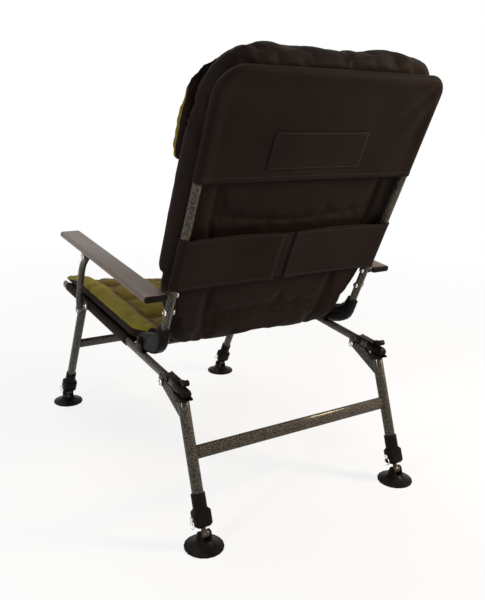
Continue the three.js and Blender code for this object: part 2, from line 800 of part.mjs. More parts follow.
function headPillow() {
  const low = backPad.fuller - backPad.front + fit;
  const top = backHeight + pillow.rise;
  const folds = Array.from({ length: pillowGathers - 1 }, (_, i) => (i + 1) / pillowGathers);
  const surfaces = (a, b, reach) => {
    const gather = pillow.gather * (1 - puff((1 + b) / 2, folds)) * smooth(...gatherShares, Math.abs(a));
    const crown = pillow.crown * (1 - a ** 4) * (1 - b ** 4);
    const rimDrop = pillow.rim * reach ** edgePower;
    return [low, low + pillow.thick - pillow.crown + crown - rimDrop - gather];
  };
  const size = { columns: pillowCells, seams: [], rowSteps: pillowCells, halfLength: (top - pillow.foot) / 2 };
  const form = padded(size, () => backX + pillow.overhang, pillowCornerPower, pillow.rim, surfaces);
  return standing(form, pillow.foot, top);
}

// Armrests

function armrest(sign) {
  const section = face(roundedBox(armWide, armThick, armCorner),
    roundedBox(armWide - 2 * armWall, armThick - 2 * armWall, armCorner - armWall));
  const tube = alongY(section, -armAheadPivot, armBehindPivot);
  const inner = supportRadius + clevisSide;
  const ear = tongue(-clevisAhead, -clevisDrop, clevisRadius, -armThick / 2 + lap, clevisFootHalf);
  const ears = sides.map((side) => alongX(ear, side.sign * inner, side.sign * (inner + clevisEar)));
  const heads = sides.map((side) => {
    const face = side.sign * (inner + clevisEar);
    return alongX(disc(domeRadius, -clevisAhead, -clevisDrop), face - side.sign * lap, face + side.sign * boltRadius);
  });
  const hole = alongX(disc(armPivotRadius + fit), -sign * armWide, -sign * armWide / 4);
  return joined([tube, ...ears, ...heads]).subtract(hole);
}

function armrestCap(direction) {
  const face = direction > 0 ? armBehindPivot : armAheadPivot;
  const lid = alongY(roundedBox(armWide, armThick, armCorner), 0, 2 * armCapThick, armCapThick / 2)
    .subtract(block(2 * armWide, armCapThick, 2 * armThick, 0, armCapThick / 2 - fit, 0));
  const inset = 2 * (armWall + fit);
  const plug = alongY(roundedBox(armWide - inset, armThick - inset, armCorner - armWall),
    armCapThick - fit - armPlugDeep, armCapThick + lap);
  const cap = joined([lid, plug]).translate([0, face - armCapThick + 2 * fit, 0]);
  return direction > 0 ? cap : cap.mirror([0, 1, 0]);
}

// Front leg frame

function legTube(radius, top, pin, offset) {
  const section = face(disc(radius, 0, offset), disc(radius - tubeWall, 0, offset));
  return alongZ(section, pin + outerFoot, -top);
}

function crossbar(halfSpan, legRadius, offset, drop) {
  const bar = face(flatOval(barWide, barDeep, offset, -drop),
    flatOval(barWide - 2 * tubeWall, barDeep - 2 * tubeWall, offset, -drop));
  const legs = sides.map(({ sign }) => alongZ(disc(legRadius + fit, sign * halfSpan, offset),
    -drop - barDeep, -drop + barDeep));
  return cutBy(alongX(bar, -halfSpan, halfSpan), legs);
}

function frontLeg(sign) {
  const boltHole = alongX(disc(boltRadius + fit, -frontLegOffset, -frontLegTop - legBoltInset), 0,
    sign * (frontLegRadius + overrun));
  return legTube(frontLegRadius, frontLegTop, frontPin, -frontLegOffset).subtract(boltHole);
}

function legTopPlug() {
  const plugRadius = frontLegRadius - tubeWall - fit;
  const lid = revolved([[0, -lap], [frontLegRadius, -lap], [frontLegRadius, lap],
    [frontLegRadius * plugShoulderShares[0], plugDome * plugShoulderShares[1]], [0, plugDome]], plugSteps);
  const plug = revolved([[0, -plugDeep / 2], [plugRadius, -plugDeep / 2], [plugRadius, 0], [0, 0]], plugSteps);
  return joined([lid, plug]).translate([0, -frontLegOffset, -frontLegTop + lap + fit]);
}

function frontBracket(sign) {
  const inner = sign * (frontLegX + frontLegRadius + fit);
  const outer = inner + sign * postPlate;
  const legBolt = [-frontLegOffset, -frontLegTop - legBoltInset];
  const rearBolt = [rearBoltBack, rearBoltRise];
  const arms = [legBolt, rearBolt].map((bolt) => alongX(strip([0, 0], bolt, postPlateMargin), inner, outer));
  const heads = [legBolt, rearBolt].map((bolt) => alongX(disc(domeRadius, bolt[0], bolt[1]),
    outer - sign * lap, outer + sign * domeThick));
  const pin = alongX(disc(postPinRadius), sign * (sideX - railWide / 2 - fit - slingCloth), inner + sign * lap);
  const legShank = alongX(disc(boltRadius, legBolt[0], legBolt[1]), sign * frontLegX, inner + sign * lap);
  return joined([...arms, ...heads, pin, legShank]);
}

// The support runs from beside the pivot plate up and outwards into the clevis under the armrest
function armSupport(sign) {
  const footX = frontLegX + frontLegRadius + fit + postPlate + fit + supportRadius;
  const foot = new THREE.Vector3(footX, -supportFootAhead, -supportFootDrop);
  const head = new THREE.Vector3(armX, clevis.y - postPivot.y, clevis.z - postPivot.z);
  const middles = supportMiddleShares.map(([x, y, z]) => new THREE.Vector3(
    foot.x + (head.x - foot.x) * x, foot.y + (head.y - foot.y) * y, foot.z + (head.z - foot.z) * z));
  const path = new THREE.CatmullRomCurve3([foot, ...middles, head]);
  const tube = sweep(disc(supportRadius), path, supportSteps);
  const start = foot.clone().sub(path.getTangent(0).multiplyScalar(overrun));
  const bore = sweep(disc(supportRadius - tubeWall), new THREE.LineCurve3(start, path.getPoint(supportBoreShare)), 1);
  const eye = alongX(disc(supportRadius, head.y, head.z), head.x - supportRadius, head.x + supportRadius);
  const whole = joined([tube, eye]).subtract(bore);
  return sign > 0 ? whole : whole.mirror([1, 0, 0]);
}

// Rear leg frame

function rearGusset() {
  const slant = THREE.MathUtils.degToRad(-seatPitch - rearLean);
  const along = [Math.cos(slant), Math.sin(slant)];
  const up = [-Math.sin(slant), Math.cos(slant)];
  const edge = (distance, height) => [along[0] * distance + up[0] * height, along[1] * distance + up[1] * height];
  const legLine = rearLegOffset - rearLegRadius / 2;
  const footAngle = Math.atan2(-gussetLegFoot, legLine) - Math.PI / 2;
  const lower = (inset) => {
    const radius = gussetTip - inset;
    return [Math.cos(footAngle) * radius, Math.sin(footAngle) * radius];
  };
  const outline = [
    edge(gussetTopLong, gussetTip),
    ...arc(0, 0, gussetTip, slant + Math.PI / 2, footAngle + 2 * Math.PI),
    [legLine, -gussetLegFoot],
    [legLine, -gussetLegTop],
  ];
  const skin = alongX(outline, -gussetWide / 2, gussetWide / 2);
  const start = 2 * gussetTip;
  const inner = lower(gussetSheet);
  const run = [legLine - inner[0], -gussetLegFoot + gussetSheet - inner[1]];
  const first = start / Math.hypot(...run);
  const pocket = [
    [inner[0] + run[0] * first, inner[1] + run[1] * first],
    [legLine + overrun, -gussetLegFoot + gussetSheet],
    [legLine + overrun, gussetTip],
    edge(start, 2 * gussetTip),
  ];
  const leg = alongZ(disc(rearLegRadius + fit, 0, rearLegOffset), -2 * gussetLegFoot, 0);
  const channel = cutBy(skin, [alongX(pocket, gussetSheet - gussetWide / 2, gussetWide / 2 - gussetSheet), leg]);
  const face = railWide / 2 - lap + lugThick + fit;
  const shank = alongX(disc(gussetBoltRadius), -face - lap, face + lap);
  const heads = sides.map(({ sign }) => alongX(disc(gussetHeadRadius), sign * face, sign * (face + gussetHeadThick), 1));
  return joined([channel, shank, ...heads]);
}

function legSaddle() {
  const relative = -seatPitch - rearLean;
  const top = -rearLegTop;
  const body = solid(extrusion(roundedBox(saddleWide, saddleLong, saddleWide / 4), 2 * saddleDeep, 2)
    .translate(0, saddleBack, -saddleDeep).rotateX(THREE.MathUtils.degToRad(relative))
    .translate(0, rearLegOffset, top + saddleDeep / 2));
  const plug = alongZ(disc(rearLegRadius - tubeWall - fit, 0, rearLegOffset), top - saddlePlug, top + saddleCheek);
  const under = alongZ(disc(2 * saddleLong, 0, rearLegOffset), top - 2 * saddleDeep, top + fit);
  const railAxis = place({ y: 0, z: 0 }, relative, 0, gussetDrop);
  const trough = solid(extrusion(flatOval(capWide + 2 * fit, capDeep + 2 * fit), 4 * saddleLong)
    .rotateX(Math.PI / 2).translate(0, gussetBack + 2 * saddleLong, 0)
    .rotateX(THREE.MathUtils.degToRad(relative)).translate(0, railAxis.y, railAxis.z));
  const above = solid(new THREE.BoxGeometry(2 * saddleWide, 4 * saddleLong, capDeep)
    .translate(0, gussetBack, saddleCheek)
    .rotateX(THREE.MathUtils.degToRad(relative)).translate(0, railAxis.y, railAxis.z));
  return cutBy(joined([body.subtract(under), plug]), [trough, above]);
}

// The latch: a strip over the rail end, hung on two stubs, with a roller to lift it by and a locking peg
function latch() {
  const half = latchWidth / 2 + capSleeve;
  const cheek = tongue(latchPivot, 0, latchCheek, stripUnder + latchSheet, latchCheek);
  const cheeks = sides.map(({ sign }) => alongX(cheek, sign * latchWidth / 2, sign * half));
  const stubs = sides.map(({ sign }) => alongX(disc(latchStubRadius, latchPivot, 0),
    sign * (latchWidth / 2 - latchStub), sign * (latchWidth / 2 + lap)));
  const first = latchPivot - latchAhead;
  const plate = block(2 * half, latchStripEnd - first, latchSheet, 0, (latchStripEnd + first) / 2,
    stripUnder + latchSheet / 2);
  const arm = alongX(strip([latchStripEnd - latchArmRadius, stripUnder + latchArmRadius],
    [latchEnd, rollerHeight], latchArmRadius), -latchArmRadius, latchArmRadius);
  const roller = alongX(disc(rollerRadius, latchEnd, rollerHeight), -rollerWide / 2, rollerWide / 2, 1);
  const peg = alongZ(disc(pegRadius, 0, pegPlace), railDeep / 2 - pegDeep, stripUnder + lap);
  return joined([plate, arm, ...cheeks, ...stubs, roller, peg]);
}

// Telescopic legs and feet, about the pin of the foot with the leg along Z

function innerRadius(outerRadius) {
  return outerRadius - tubeWall - fit;
}

function innerLeg(outerRadius) {
  const radius = innerRadius(outerRadius);
  const tube = alongZ(face(disc(radius), disc(radius - innerWall)), innerFoot, innerFoot + innerLong);
  const floor = alongZ(disc(radius), innerFoot, innerFoot + 2 * innerWall);
  const stem = alongZ(disc(stemRadius), 0, innerFoot + lap);
  const eye = alongX(disc(eyeRadius), -eyeWide / 2, eyeWide / 2);
  const pinBore = alongX(disc(footPinRadius + fit), -eyeWide, eyeWide);
  const holes = Array.from({ length: lockHoles }, (_, i) => alongX(
    disc(lockHoleRadius, 0, lockHeight + i * lockPitch), radius / 2, radius + overrun));
  return cutBy(joined([tube, floor, stem, eye]), [pinBore, ...holes]);
}

function legClamp(outerRadius) {
  const sleeve = alongZ(disc(outerRadius + fit + clampWall), clampBlockTop - lap, clampTop);
  const body = alongZ(roundedBox(clampBlockWide, clampBlockDeep, clampBlockCorner), clampFoot,
    clampBlockTop, clampEdge);
  const tubeBore = alongZ(disc(outerRadius + fit), outerFoot - fit, clampTop + overrun);
  const innerBore = alongZ(disc(innerRadius(outerRadius) + fit), clampFoot - overrun, outerFoot + overrun);
  const pinBore = alongX(disc(lockPinRadius + fit, 0, lockHeight), 0, clampBlockWide);
  return cutBy(joined([sleeve, body]), [tubeBore, innerBore, pinBore]);
}

// The leg's own tube gives way to the lock pin
function pinWay(pin, offset) {
  return alongX(disc(lockPinRadius + fit, offset, pin + lockHeight), 0, 2 * clampBlockWide);
}

function lockPin(outerRadius) {
  const tip = innerRadius(outerRadius) + fit;
  const face = clampBlockWide / 2 + lockStandOff;
  const pin = alongX(disc(lockPinRadius, 0, lockHeight), tip, face + lap);
  const head = alongX(disc(lockHeadRadius, 0, lockHeight), face, face + lockHeadThick);
  const ringHeight = lockHeight - lockHeadRadius - lockRingRadius + lockWireRadius;
  const ring = solid(new THREE.TorusGeometry(lockRingRadius, lockWireRadius, 4, 10)
    .rotateY(Math.PI / 2).translate(face + lockHeadThick / 2, 0, ringHeight));
  return joined([pin, head, ring]);
}

function mudFoot() {
  const shoulder = footRadius * footShoulderShare;
  const inside = footRadius - footRimWide;
  const dish = revolved([
    [0, footDish], [inside - footRimWide, footDish], [inside, 0], [footRadius, 0], [footRadius, footRim],
    [shoulder, footDish + footSkin], [footHubRadius, footHubTop * hubEdgeShare], [footHubRadius * hubEdgeShare,
      footHubTop], [0, footHubTop],
  ], footSteps);
  const ear = tongue(0, footPinHeight, footEarRadius, footHubTop / 2, footEarFootWide / 2);
  const inner = eyeWide / 2 + fit;
  const ears = sides.map(({ sign }) => alongX(ear, sign * inner, sign * (inner + footEarThick)));
  const end = inner + footEarThick + footPinHead;
  const pin = alongX(disc(footPinRadius, 0, footPinHeight), -end, end);
  const heads = sides.map(({ sign }) => alongX(disc(footPinHeadRadius, 0, footPinHeight),
    sign * (inner + footEarThick - lap), sign * end));
  return joined([dish, ...ears, pin, ...heads]).translate([0, 0, -footPinHeight]);
}

// Assembly

function onSides(group, build) {
  sides.forEach((side) => build(side).forEach((mesh) => group.add(mesh)));
}

function setX(mesh, x) {
  mesh.position.x = x;
  return mesh;
}

const seat = tiltedGroup('seat_frame', railPoint, -seatPitch);
onSides(seat, ({ word, sign }) => [
  setX(piece(`seat_rail_${word}`, seatRail(), hammered), sign * sideX),
  setX(piece(`hinge_bracket_${word}`, hingeBracket(), moulded), sign * backX),
  setX(piece(`rail_end_cap_${word}`, railEndCap(), moulded), sign * sideX),
  setX(piece(`rail_latch_${word}`, latch(), moulded), sign * sideX),
]);
seat.add(piece('seat_front_tube', seatFrontTube(), hammered));
seat.add(piece('seat_rear_tube', seatRearTube(), hammered));
seat.add(piece('seat_sling', seatSling(), blackCloth));
seat.add(piece('seat_cushion', seatCushion(), oliveCloth));

const back = tiltedGroup('back_frame', hinge, -backLean);
onSides(back, ({ word, sign }) => {
  const tube = setX(piece(`back_tube_${word}`, backTube(sign), hammered), sign * backX);
  tube.position.y = backTubeOffset;
  return [tube, setX(piece(`hinge_cover_${word}`, hingeCover(), moulded), sign * backX)];
});
const backCoverings = [
  piece('back_top_tube', backTopTube(), hammered),
  piece('upper_panel', upperPanel(), blackCloth),
  piece('lumbar_band_left', lumbarBand(1), blackCloth),
  piece('lumbar_band_right', lumbarBand(-1), blackCloth),
];
backCoverings.forEach((mesh) => {
  mesh.position.y = backTubeOffset;
  back.add(mesh);
});
back.add(piece('back_cushion', backCushion(), blackCloth));
back.add(piece('head_pillow', headPillow(), oliveCloth));

const arms = tiltedGroup('armrests', armPivot, -armSlope);
onSides(arms, ({ word, sign }) => [
  setX(piece(`armrest_${word}`, armrest(sign), armPaint), sign * armX),
  setX(piece(`armrest_cap_front_${word}`, armrestCap(-1), moulded), sign * armX),
  setX(piece(`armrest_cap_rear_${word}`, armrestCap(1), moulded), sign * armX),
]);

const frontFrame = tiltedGroup('front_leg_frame', postPivot, -frontLean);
onSides(frontFrame, ({ word, sign }) => [
  setX(piece(`front_leg_${word}`, frontLeg(sign).subtract(pinWay(frontPin, -frontLegOffset)), hammered),
    sign * frontLegX),
  setX(piece(`leg_top_plug_${word}`, legTopPlug(), moulded), sign * frontLegX),
  piece(`front_bracket_${word}`, frontBracket(sign), hammered),
]);
frontFrame.add(piece('front_crossbar',
  crossbar(frontLegX, frontLegRadius, -frontLegOffset, frontBarDrop), hammered));

const supports = tiltedGroup('arm_supports', postPivot, 0);
onSides(supports, ({ word, sign }) => [piece(`arm_support_${word}`, armSupport(sign), hammered)]);

const rearFrame = tiltedGroup('rear_leg_frame', gussetPivot, rearLean);
onSides(rearFrame, ({ word, sign }) => [
  setX(piece(`rear_leg_${word}`, legTube(rearLegRadius, rearLegTop, rearPin, rearLegOffset)
    .subtract(pinWay(rearPin, rearLegOffset)), hammered), sign * sideX),
  setX(piece(`rear_gusset_${word}`, rearGusset(), hammered), sign * sideX),
  setX(piece(`leg_saddle_${word}`, legSaddle(), moulded), sign * sideX),
]);
rearFrame.add(piece('rear_crossbar',
  crossbar(sideX, rearLegRadius, rearLegOffset, rearBarDrop), hammered));

const legEnds = [
  { word: 'front', pivot: postPivot, lean: -frontLean, offset: -frontLegOffset, pin: frontPin, x: frontLegX,
    radius: frontLegRadius },
  { word: 'rear', pivot: gussetPivot, lean: rearLean, offset: rearLegOffset, pin: rearPin, x: sideX,
    radius: rearLegRadius },
].flatMap((leg) => sides.map(({ word, sign }) => {
  const pin = place(leg.pivot, leg.lean, leg.offset, leg.pin);
  const group = tiltedGroup(`foot_${leg.word}_${word}`, pin, 0);
  group.position.x = sign * leg.x;
  const tilted = tiltedGroup(`leg_${leg.word}_${word}`, { y: 0, z: 0 }, leg.lean);
  tilted.add(piece(`inner_leg_${leg.word}_${word}`, innerLeg(leg.radius), hammered));
  tilted.add(piece(`leg_clamp_${leg.word}_${word}`, legClamp(leg.radius), moulded));
  tilted.add(piece(`lock_pin_${leg.word}_${word}`, lockPin(leg.radius), zinc));
  group.add(tilted, piece(`mud_foot_${leg.word}_${word}`, mudFoot(), moulded));
  return group;
}));

const chair = new THREE.Group();
chair.add(seat, back, arms, frontFrame, supports, rearFrame, ...legEnds);

// The origin goes to the floor under the middle of the chair
const bounds = new THREE.Box3().setFromObject(chair);
chair.position.y = -(bounds.min.y + bounds.max.y) / 2;

export default chair;
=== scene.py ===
import json
from math import atan2, cos, hypot, pi, radians, sin
from types import SimpleNamespace as Sizes

import bmesh
import bpy
from mathutils import Euler, Matrix, Vector, noise


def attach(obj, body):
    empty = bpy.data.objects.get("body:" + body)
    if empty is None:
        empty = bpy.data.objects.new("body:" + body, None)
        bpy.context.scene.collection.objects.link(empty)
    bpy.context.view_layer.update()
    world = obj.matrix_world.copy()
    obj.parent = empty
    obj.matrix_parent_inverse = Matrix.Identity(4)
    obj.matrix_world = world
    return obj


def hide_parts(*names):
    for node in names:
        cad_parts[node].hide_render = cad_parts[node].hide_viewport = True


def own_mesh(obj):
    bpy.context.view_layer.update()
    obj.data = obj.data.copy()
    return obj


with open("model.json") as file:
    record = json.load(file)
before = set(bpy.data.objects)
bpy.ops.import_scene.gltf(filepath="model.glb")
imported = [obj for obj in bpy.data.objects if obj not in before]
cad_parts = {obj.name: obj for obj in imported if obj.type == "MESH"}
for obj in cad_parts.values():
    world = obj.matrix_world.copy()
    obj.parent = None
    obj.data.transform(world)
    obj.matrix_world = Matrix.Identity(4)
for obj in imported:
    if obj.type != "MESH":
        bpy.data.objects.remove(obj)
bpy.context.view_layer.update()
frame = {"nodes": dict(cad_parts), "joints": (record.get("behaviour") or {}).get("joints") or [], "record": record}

# Metres. +X is the sitter's left, -Y the sitter's front, +Z up. Tilted frames hold the sizes: the
# back's (across, behind the hinge, up the back), the seat's (across, behind the hinge, above the
# rail's centre line), and each leg frame's (across, behind its pivot, above it).

SCENE = bpy.context.scene

# Sizes that follow the frame

SIDE = 0.2615  # the plane of a rail and its rear leg
BACK_X = 0.255  # the plane of a back tube
ARM_X = 0.296
BACK_LEAN = radians(22.95)
SEAT_PITCH = radians(5.14)
ARM_SLOPE = radians(5.6)
FRONT_LEAN = radians(26.9)
REAR_LEAN = radians(20.1)
HINGE_RISE = 0.032
TUBE = 0.0092  # back tube radius
TUBE_BEHIND = 0.069  # its axis behind the hinge
BACK_HEIGHT = 0.638  # axis of the top tube up the back
BACK_CORNER = 0.050
RAIL_WIDE = 0.013
RAIL_DEEP = 0.020
COVER = 0.011  # outer face of the cloth from a back tube's axis
CLOTH = 0.0014

# Cushions. A pad's edge is the line between olive and black cloth, its groove and welt are the depths of
# a seam's channel and of that line, and travel caps how far the cloth swells.

SEAT_PAD = Sizes(half=0.264, rear_half=0.235, front=-0.533, rear=0.004, under=0.0135, top=0.050, panel=0.032,
                 border=0.205, inside=0.022, outside=0.026, lip=0.150, drop=0.046, dip=0.006, dip_wide=0.045,
                 thick=0.024, thin=0.012, front_sag=0.052, under_sag=0.061, sling_sag=0.018, sag_long=0.230,
                 level=(-0.130, -0.060), narrow=(0.75, 0.95), rear_fall=0.007, edge=0.011, front_edge=-0.030,
                 cuts=55, corner=14, drawn=0.007, sewn=(0.002, 0.007), groove=0.0025, groove_wide=0.006,
                 welt=0.0018, crease=0.0016, creases=(20, 34, 60), travel=0.009)
SEAT_SEAMS = (-0.399, -0.2645, -0.130)
SAG_ALONG, SAG_ACROSS = 1.15, 1.4  # powers of the seat's hang
BACK_PAD = Sizes(half=0.279, foot=0.010, top=0.679, front=0.018, fuller=0.012, fuller_from=(0.061, 0.158),
                 rear=0.0565, rim=0.007, edge=0.008, dip=0.004, dip_at=0.03, plain_top=(0.615, 0.645),
                 cuts=58, foot_corner=9, left_corner=5.6, right_corner=6.4, drawn=0.007, sewn=(0.002, 0.008),
                 groove=0.0042, groove_wide=0.007, welt=0.002, gather=0.0030, crease=0.0012,
                 top_crease=0.0004, creases=(16, 30, 22), travel=0.010)
BACK_PAD_SIDES = ((0.10, 0.036), (0.12, 0.024), (0.16, 0.015), (0.20, 0.009), (0.22, 0.0))  # by height
BACK_SEAMS = (0.100, 0.222, 0.351, 0.480, 0.580)
BACK_SEAM_SAG = Sizes(deep=0.022, middle=0.345, reach=0.323)
BACK_BORDER = ((0.03, 0.140), (0.06, 0.155), (0.10, 0.160), (0.165, 0.162), (0.33, 0.200))  # by height
BACK_ROOM = Sizes(rear=0.0574, bulge=0.004, covers=0.2345, covers_top=0.100, foot_round=0.036, foot_slope=0.7)
PILLOW = Sizes(half=0.278, foot=0.428, top=0.668, front=-0.036, rear=0.0050, rim=0.022, top_rim=0.012,
               edge=0.004, front_edge=-0.001, cuts=40, foot_corner=14, top_corner=3.0, drawn=0.009,
               welt=0.0025, gather=0.0009, crease=0.0018, creases=(14, 26, 24), travel=0.012)
ON_FACE = 0.012  # how deep below a face of the back cushion a point still counts as on it
ON_TUBES = (0.225, 0.245)  # where the back cushion comes to lie on the tubes, from the middle
WELT_WIDE = 0.005
RIM_POWER = 6
FALL_POWER = 12
VOXEL = 0.006
SIDE_PULL = 0.25  # how much of the swelling's pull on a cushion's sides is kept
SWELL_STEPS = 20
SWELL = dict(vertex_group_mass="held", quality=4, mass=0.3, tension_stiffness=12, compression_stiffness=12,
             bending_stiffness=0.4, shrink_min=-0.03, use_pressure=True, uniform_pressure_force=3.0)

# Cloth on the frame

PANEL_HALF = BACK_X + COVER
PANEL_TOP = BACK_HEIGHT + COVER
PANEL_FOOT = 0.4306
PANEL_SLACK = 0.0035
PANEL_WAVE = 0.0026
RIM_COLUMNS, RIM_ROWS = 0.12, 0.16  # the share of the cover's columns and rows that lie over a tube
PATCH = Sizes(left=0.120, right=-0.106, foot=0.455, top=0.532, inset=0.003)
CORNER_PULLED = 0.026  # the cover's right corner is pulled out to a point
FOLD = 0.0018  # depth of the folds at that corner
FOLDS = 13
BAND_FOOT = 0.1925
BAND_TOP = 0.310
BAND_LEFT_EDGE = 0.024
BAND_RIGHT_EDGE = 0.002
BAND_LOWER = 0.0013  # how much deeper the right half of the band lies than the left
BAND_SAG = 0.0045
BAND_BOW = 0.003
BAND_WRAP = 1.08  # how far a half goes round its tube, in half turns
BAND_SEAM = 0.030  # its seam, inside the tube's plane
BAND_SEAM_GAP = 0.0012
BAND_ROWS = 22
TONGUE = Sizes(wide=0.040, past=0.006, inset=0.003, deeper=0.0042, bow=0.0012)
HEM = 0.012
STITCH_PITCH = 0.0042
STITCH_THICK = 0.00042
SLING = Sizes(front=-0.480, rear=-0.078, sleeve=0.0012, web=-0.004, under=0.002, ripple=0.0008, rows=44,
              sleeve_flat=0.11)

# Bolt heads: the shares of their profile, each head's radius and height, and places in their frames

DOME = ((0, 1), (0.35, 0.98), (0.7, 0.82), (0.93, 0.5), (1, 0.22), (1.28, 0.2), (1.28, 0), (0, 0))
STOP_BOLT = (0.0054, 0.0050)
BRACKET_BOLT = (0.0052, 0.0046)
GUSSET_BOLT = (0.0058, 0.0038)
CLEVIS_BOLT = (0.0052, 0.0036)
STOP_BOLT_UP = 0.132
ARM_BOLT_UP = 0.1763
BOLT_SEAT = 0.93  # a head's foot from the axis of its tube, as a share of the radius
LEG_BOLT = (-0.0258, -0.0417)
REAR_BOLT = (0.0178, 0.0092)
CLEVIS = (-0.363, -0.0233)
BRACKET_FACE = 0.2736  # outer face of a front leg's plate, from the middle
GUSSET_FACE = 0.0087  # outer face of a gusset's lug, from its rail's plane
CLEVIS_FACE = 0.0119  # outer face of a clevis ear, from its armrest's plane


def place_of(joint):
    return Vector(next(j["pos_m"] for j in frame["joints"] if j["name"] == joint))


def tilted(origin, angle):
    return Matrix.Translation(origin) @ Matrix.Rotation(angle, 4, "X")


HINGE = place_of("back_fold")
BACK = tilted(HINGE, -BACK_LEAN)
SEAT = tilted(HINGE, -SEAT_PITCH) @ Matrix.Translation((0, 0, -HINGE_RISE))
ARM_PIVOT = place_of("armrest_pivot_left")
ARMS = tilted(Vector((0, ARM_PIVOT.y, ARM_PIVOT.z)), -ARM_SLOPE)
FRONT_LEGS = tilted(place_of("front_leg_fold"), -FRONT_LEAN)
REAR_LEGS = tilted(place_of("rear_leg_fold"), REAR_LEAN)
SIDES = (("left", 1), ("right", -1))


def smooth(low, high, value):
    share = min(max((value - low) / (high - low), 0), 1)
    return share * share * (3 - 2 * share)


def fade(low, high, value):
    return 1 - smooth(low, high, value)


def mix(a, b, share):
    return a + (b - a) * share


# Shader helpers


def add(tree, kind, links=None, **settings):
    """A node with its settings, and with its inputs linked to sockets or set to values."""
    made = tree.nodes.new(kind)
    for key, value in settings.items():
        setattr(made, key, value)
    for key, value in (links or {}).items():
        if isinstance(value, bpy.types.NodeSocket):
            tree.links.new(value, made.inputs[key])
        else:
            made.inputs[key].default_value = value
    return made


def math_of(tree, kind, a, b, clamp=False):
    return add(tree, "ShaderNodeMath", {0: a, 1: b}, operation=kind, use_clamp=clamp).outputs[0]


def ramp(tree, value, stops, interpolation="LINEAR"):
    """A colour ramp between two stops, each a place with a grey value or a colour."""
    made = add(tree, "ShaderNodeValToRGB", {"Fac": value})
    made.color_ramp.interpolation = interpolation
    for element, (place, shade) in zip(made.color_ramp.elements, stops):
        element.position = place
        element.color = shade if isinstance(shade, tuple) else (shade, shade, shade, 1)
    return made.outputs["Color"]


def blend_colour(tree, share, a, b, kind="MIX"):
    return add(tree, "ShaderNodeMix", {0: share, 6: a, 7: b}, data_type="RGBA", blend_type=kind).outputs[2]


def noise_of(tree, vector, scale, detail=3.0, roughness=0.55, distortion=0.0):
    return add(tree, "ShaderNodeTexNoise", {"Vector": vector, "Scale": scale, "Detail": detail,
                                            "Roughness": roughness, "Distortion": distortion}).outputs["Fac"]


def new_group(name, inputs, *outputs):
    """A node group that takes a vector and float values and puts out floats."""
    tree = bpy.data.node_groups.new(name, "ShaderNodeTree")
    tree.interface.new_socket("Vector", in_out="INPUT", socket_type="NodeSocketVector")
    for key, value in inputs.items():
        tree.interface.new_socket(key, in_out="INPUT", socket_type="NodeSocketFloat").default_value = value
    for key in outputs:
        tree.interface.new_socket(key, in_out="OUTPUT", socket_type="NodeSocketFloat")
    return tree, tree.nodes.new("NodeGroupInput").outputs, tree.nodes.new("NodeGroupOutput").inputs


# Shared effects


def woven_cloth():
    """Crossed threads with slubs: their height, and a tone that lifts the crowns of the threads."""
    tree, given, out = new_group("woven_cloth", {"Thread": 420.0, "Slub": 0.35}, "Height", "Tone")
    threads = [add(tree, "ShaderNodeTexWave", {"Vector": given["Vector"], "Scale": given["Thread"],
                                               "Distortion": 0.6, "Detail": 1.0},
                   bands_direction=way).outputs["Fac"] for way in ("X", "Z")]
    weave = math_of(tree, "MULTIPLY", *threads)
    slubs = noise_of(tree, given["Vector"], 260.0, 2.0)
    height = add(tree, "ShaderNodeMix", {0: given["Slub"], 2: weave, 3: slubs}).outputs[0]
    tree.links.new(height, out["Height"])
    tree.links.new(ramp(tree, height, [(0.15, 0.72), (0.75, 1.0)]), out["Tone"])
    return tree


def soft_creases():
    """Long shallow creases of slack cloth, drawn out across the sheet."""
    tree, given, out = new_group("soft_creases", {"Scale": 9.0}, "Height")
    long = add(tree, "ShaderNodeMapping", {"Vector": given["Vector"], "Scale": (0.55, 1.0, 1.5)}).outputs[0]
    tree.links.new(noise_of(tree, long, given["Scale"], 4.0, 0.5, 0.8), out["Height"])
    return tree


def hammered_skin():
    """Hammered enamel: rounded cells with thin dark valleys, and their tone."""
    tree, given, out = new_group("hammered_skin", {"Scale": 190.0}, "Height", "Tone")
    bent = add(tree, "ShaderNodeVectorMath", {0: noise_of(tree, given["Vector"], 60.0, 2.0),
                                              1: (0.004, 0.004, 0.004)}, operation="MULTIPLY").outputs[0]
    pushed = add(tree, "ShaderNodeVectorMath", {0: given["Vector"], 1: bent}, operation="ADD").outputs[0]
    cells = add(tree, "ShaderNodeTexVoronoi", {"Vector": pushed, "Scale": given["Scale"], "Smoothness": 0.35,
                                               "Randomness": 1.0}, feature="SMOOTH_F1").outputs["Distance"]
    tree.links.new(ramp(tree, cells, [(0.05, 1.0), (0.75, 0.0)], "EASE"), out["Height"])
    tree.links.new(ramp(tree, cells, [(0.12, 1.0), (0.62, 0.0)], "EASE"), out["Tone"])
    return tree


def edge_wear():
    """A mask of rubbed edges: where a rounded normal leaves the face's own, broken up by noise."""
    tree, given, out = new_group("edge_wear", {"Radius": 0.0012, "Amount": 0.6}, "Mask")
    rounded = add(tree, "ShaderNodeBevel", {"Radius": given["Radius"]}, samples=4).outputs[0]
    own = add(tree, "ShaderNodeNewGeometry").outputs["Normal"]
    same = add(tree, "ShaderNodeVectorMath", {0: rounded, 1: own}, operation="DOT_PRODUCT").outputs["Value"]
    edge = ramp(tree, math_of(tree, "SUBTRACT", 1.0, same), [(0.02, 0.0), (0.12, 1.0)])
    broken = ramp(tree, noise_of(tree, given["Vector"], 140.0, 4.0, 0.7), [(0.42, 0.0), (0.62, 1.0)])
    worn = math_of(tree, "MULTIPLY", edge, broken)
    tree.links.new(math_of(tree, "MULTIPLY", worn, given["Amount"], True), out["Mask"])
    return tree


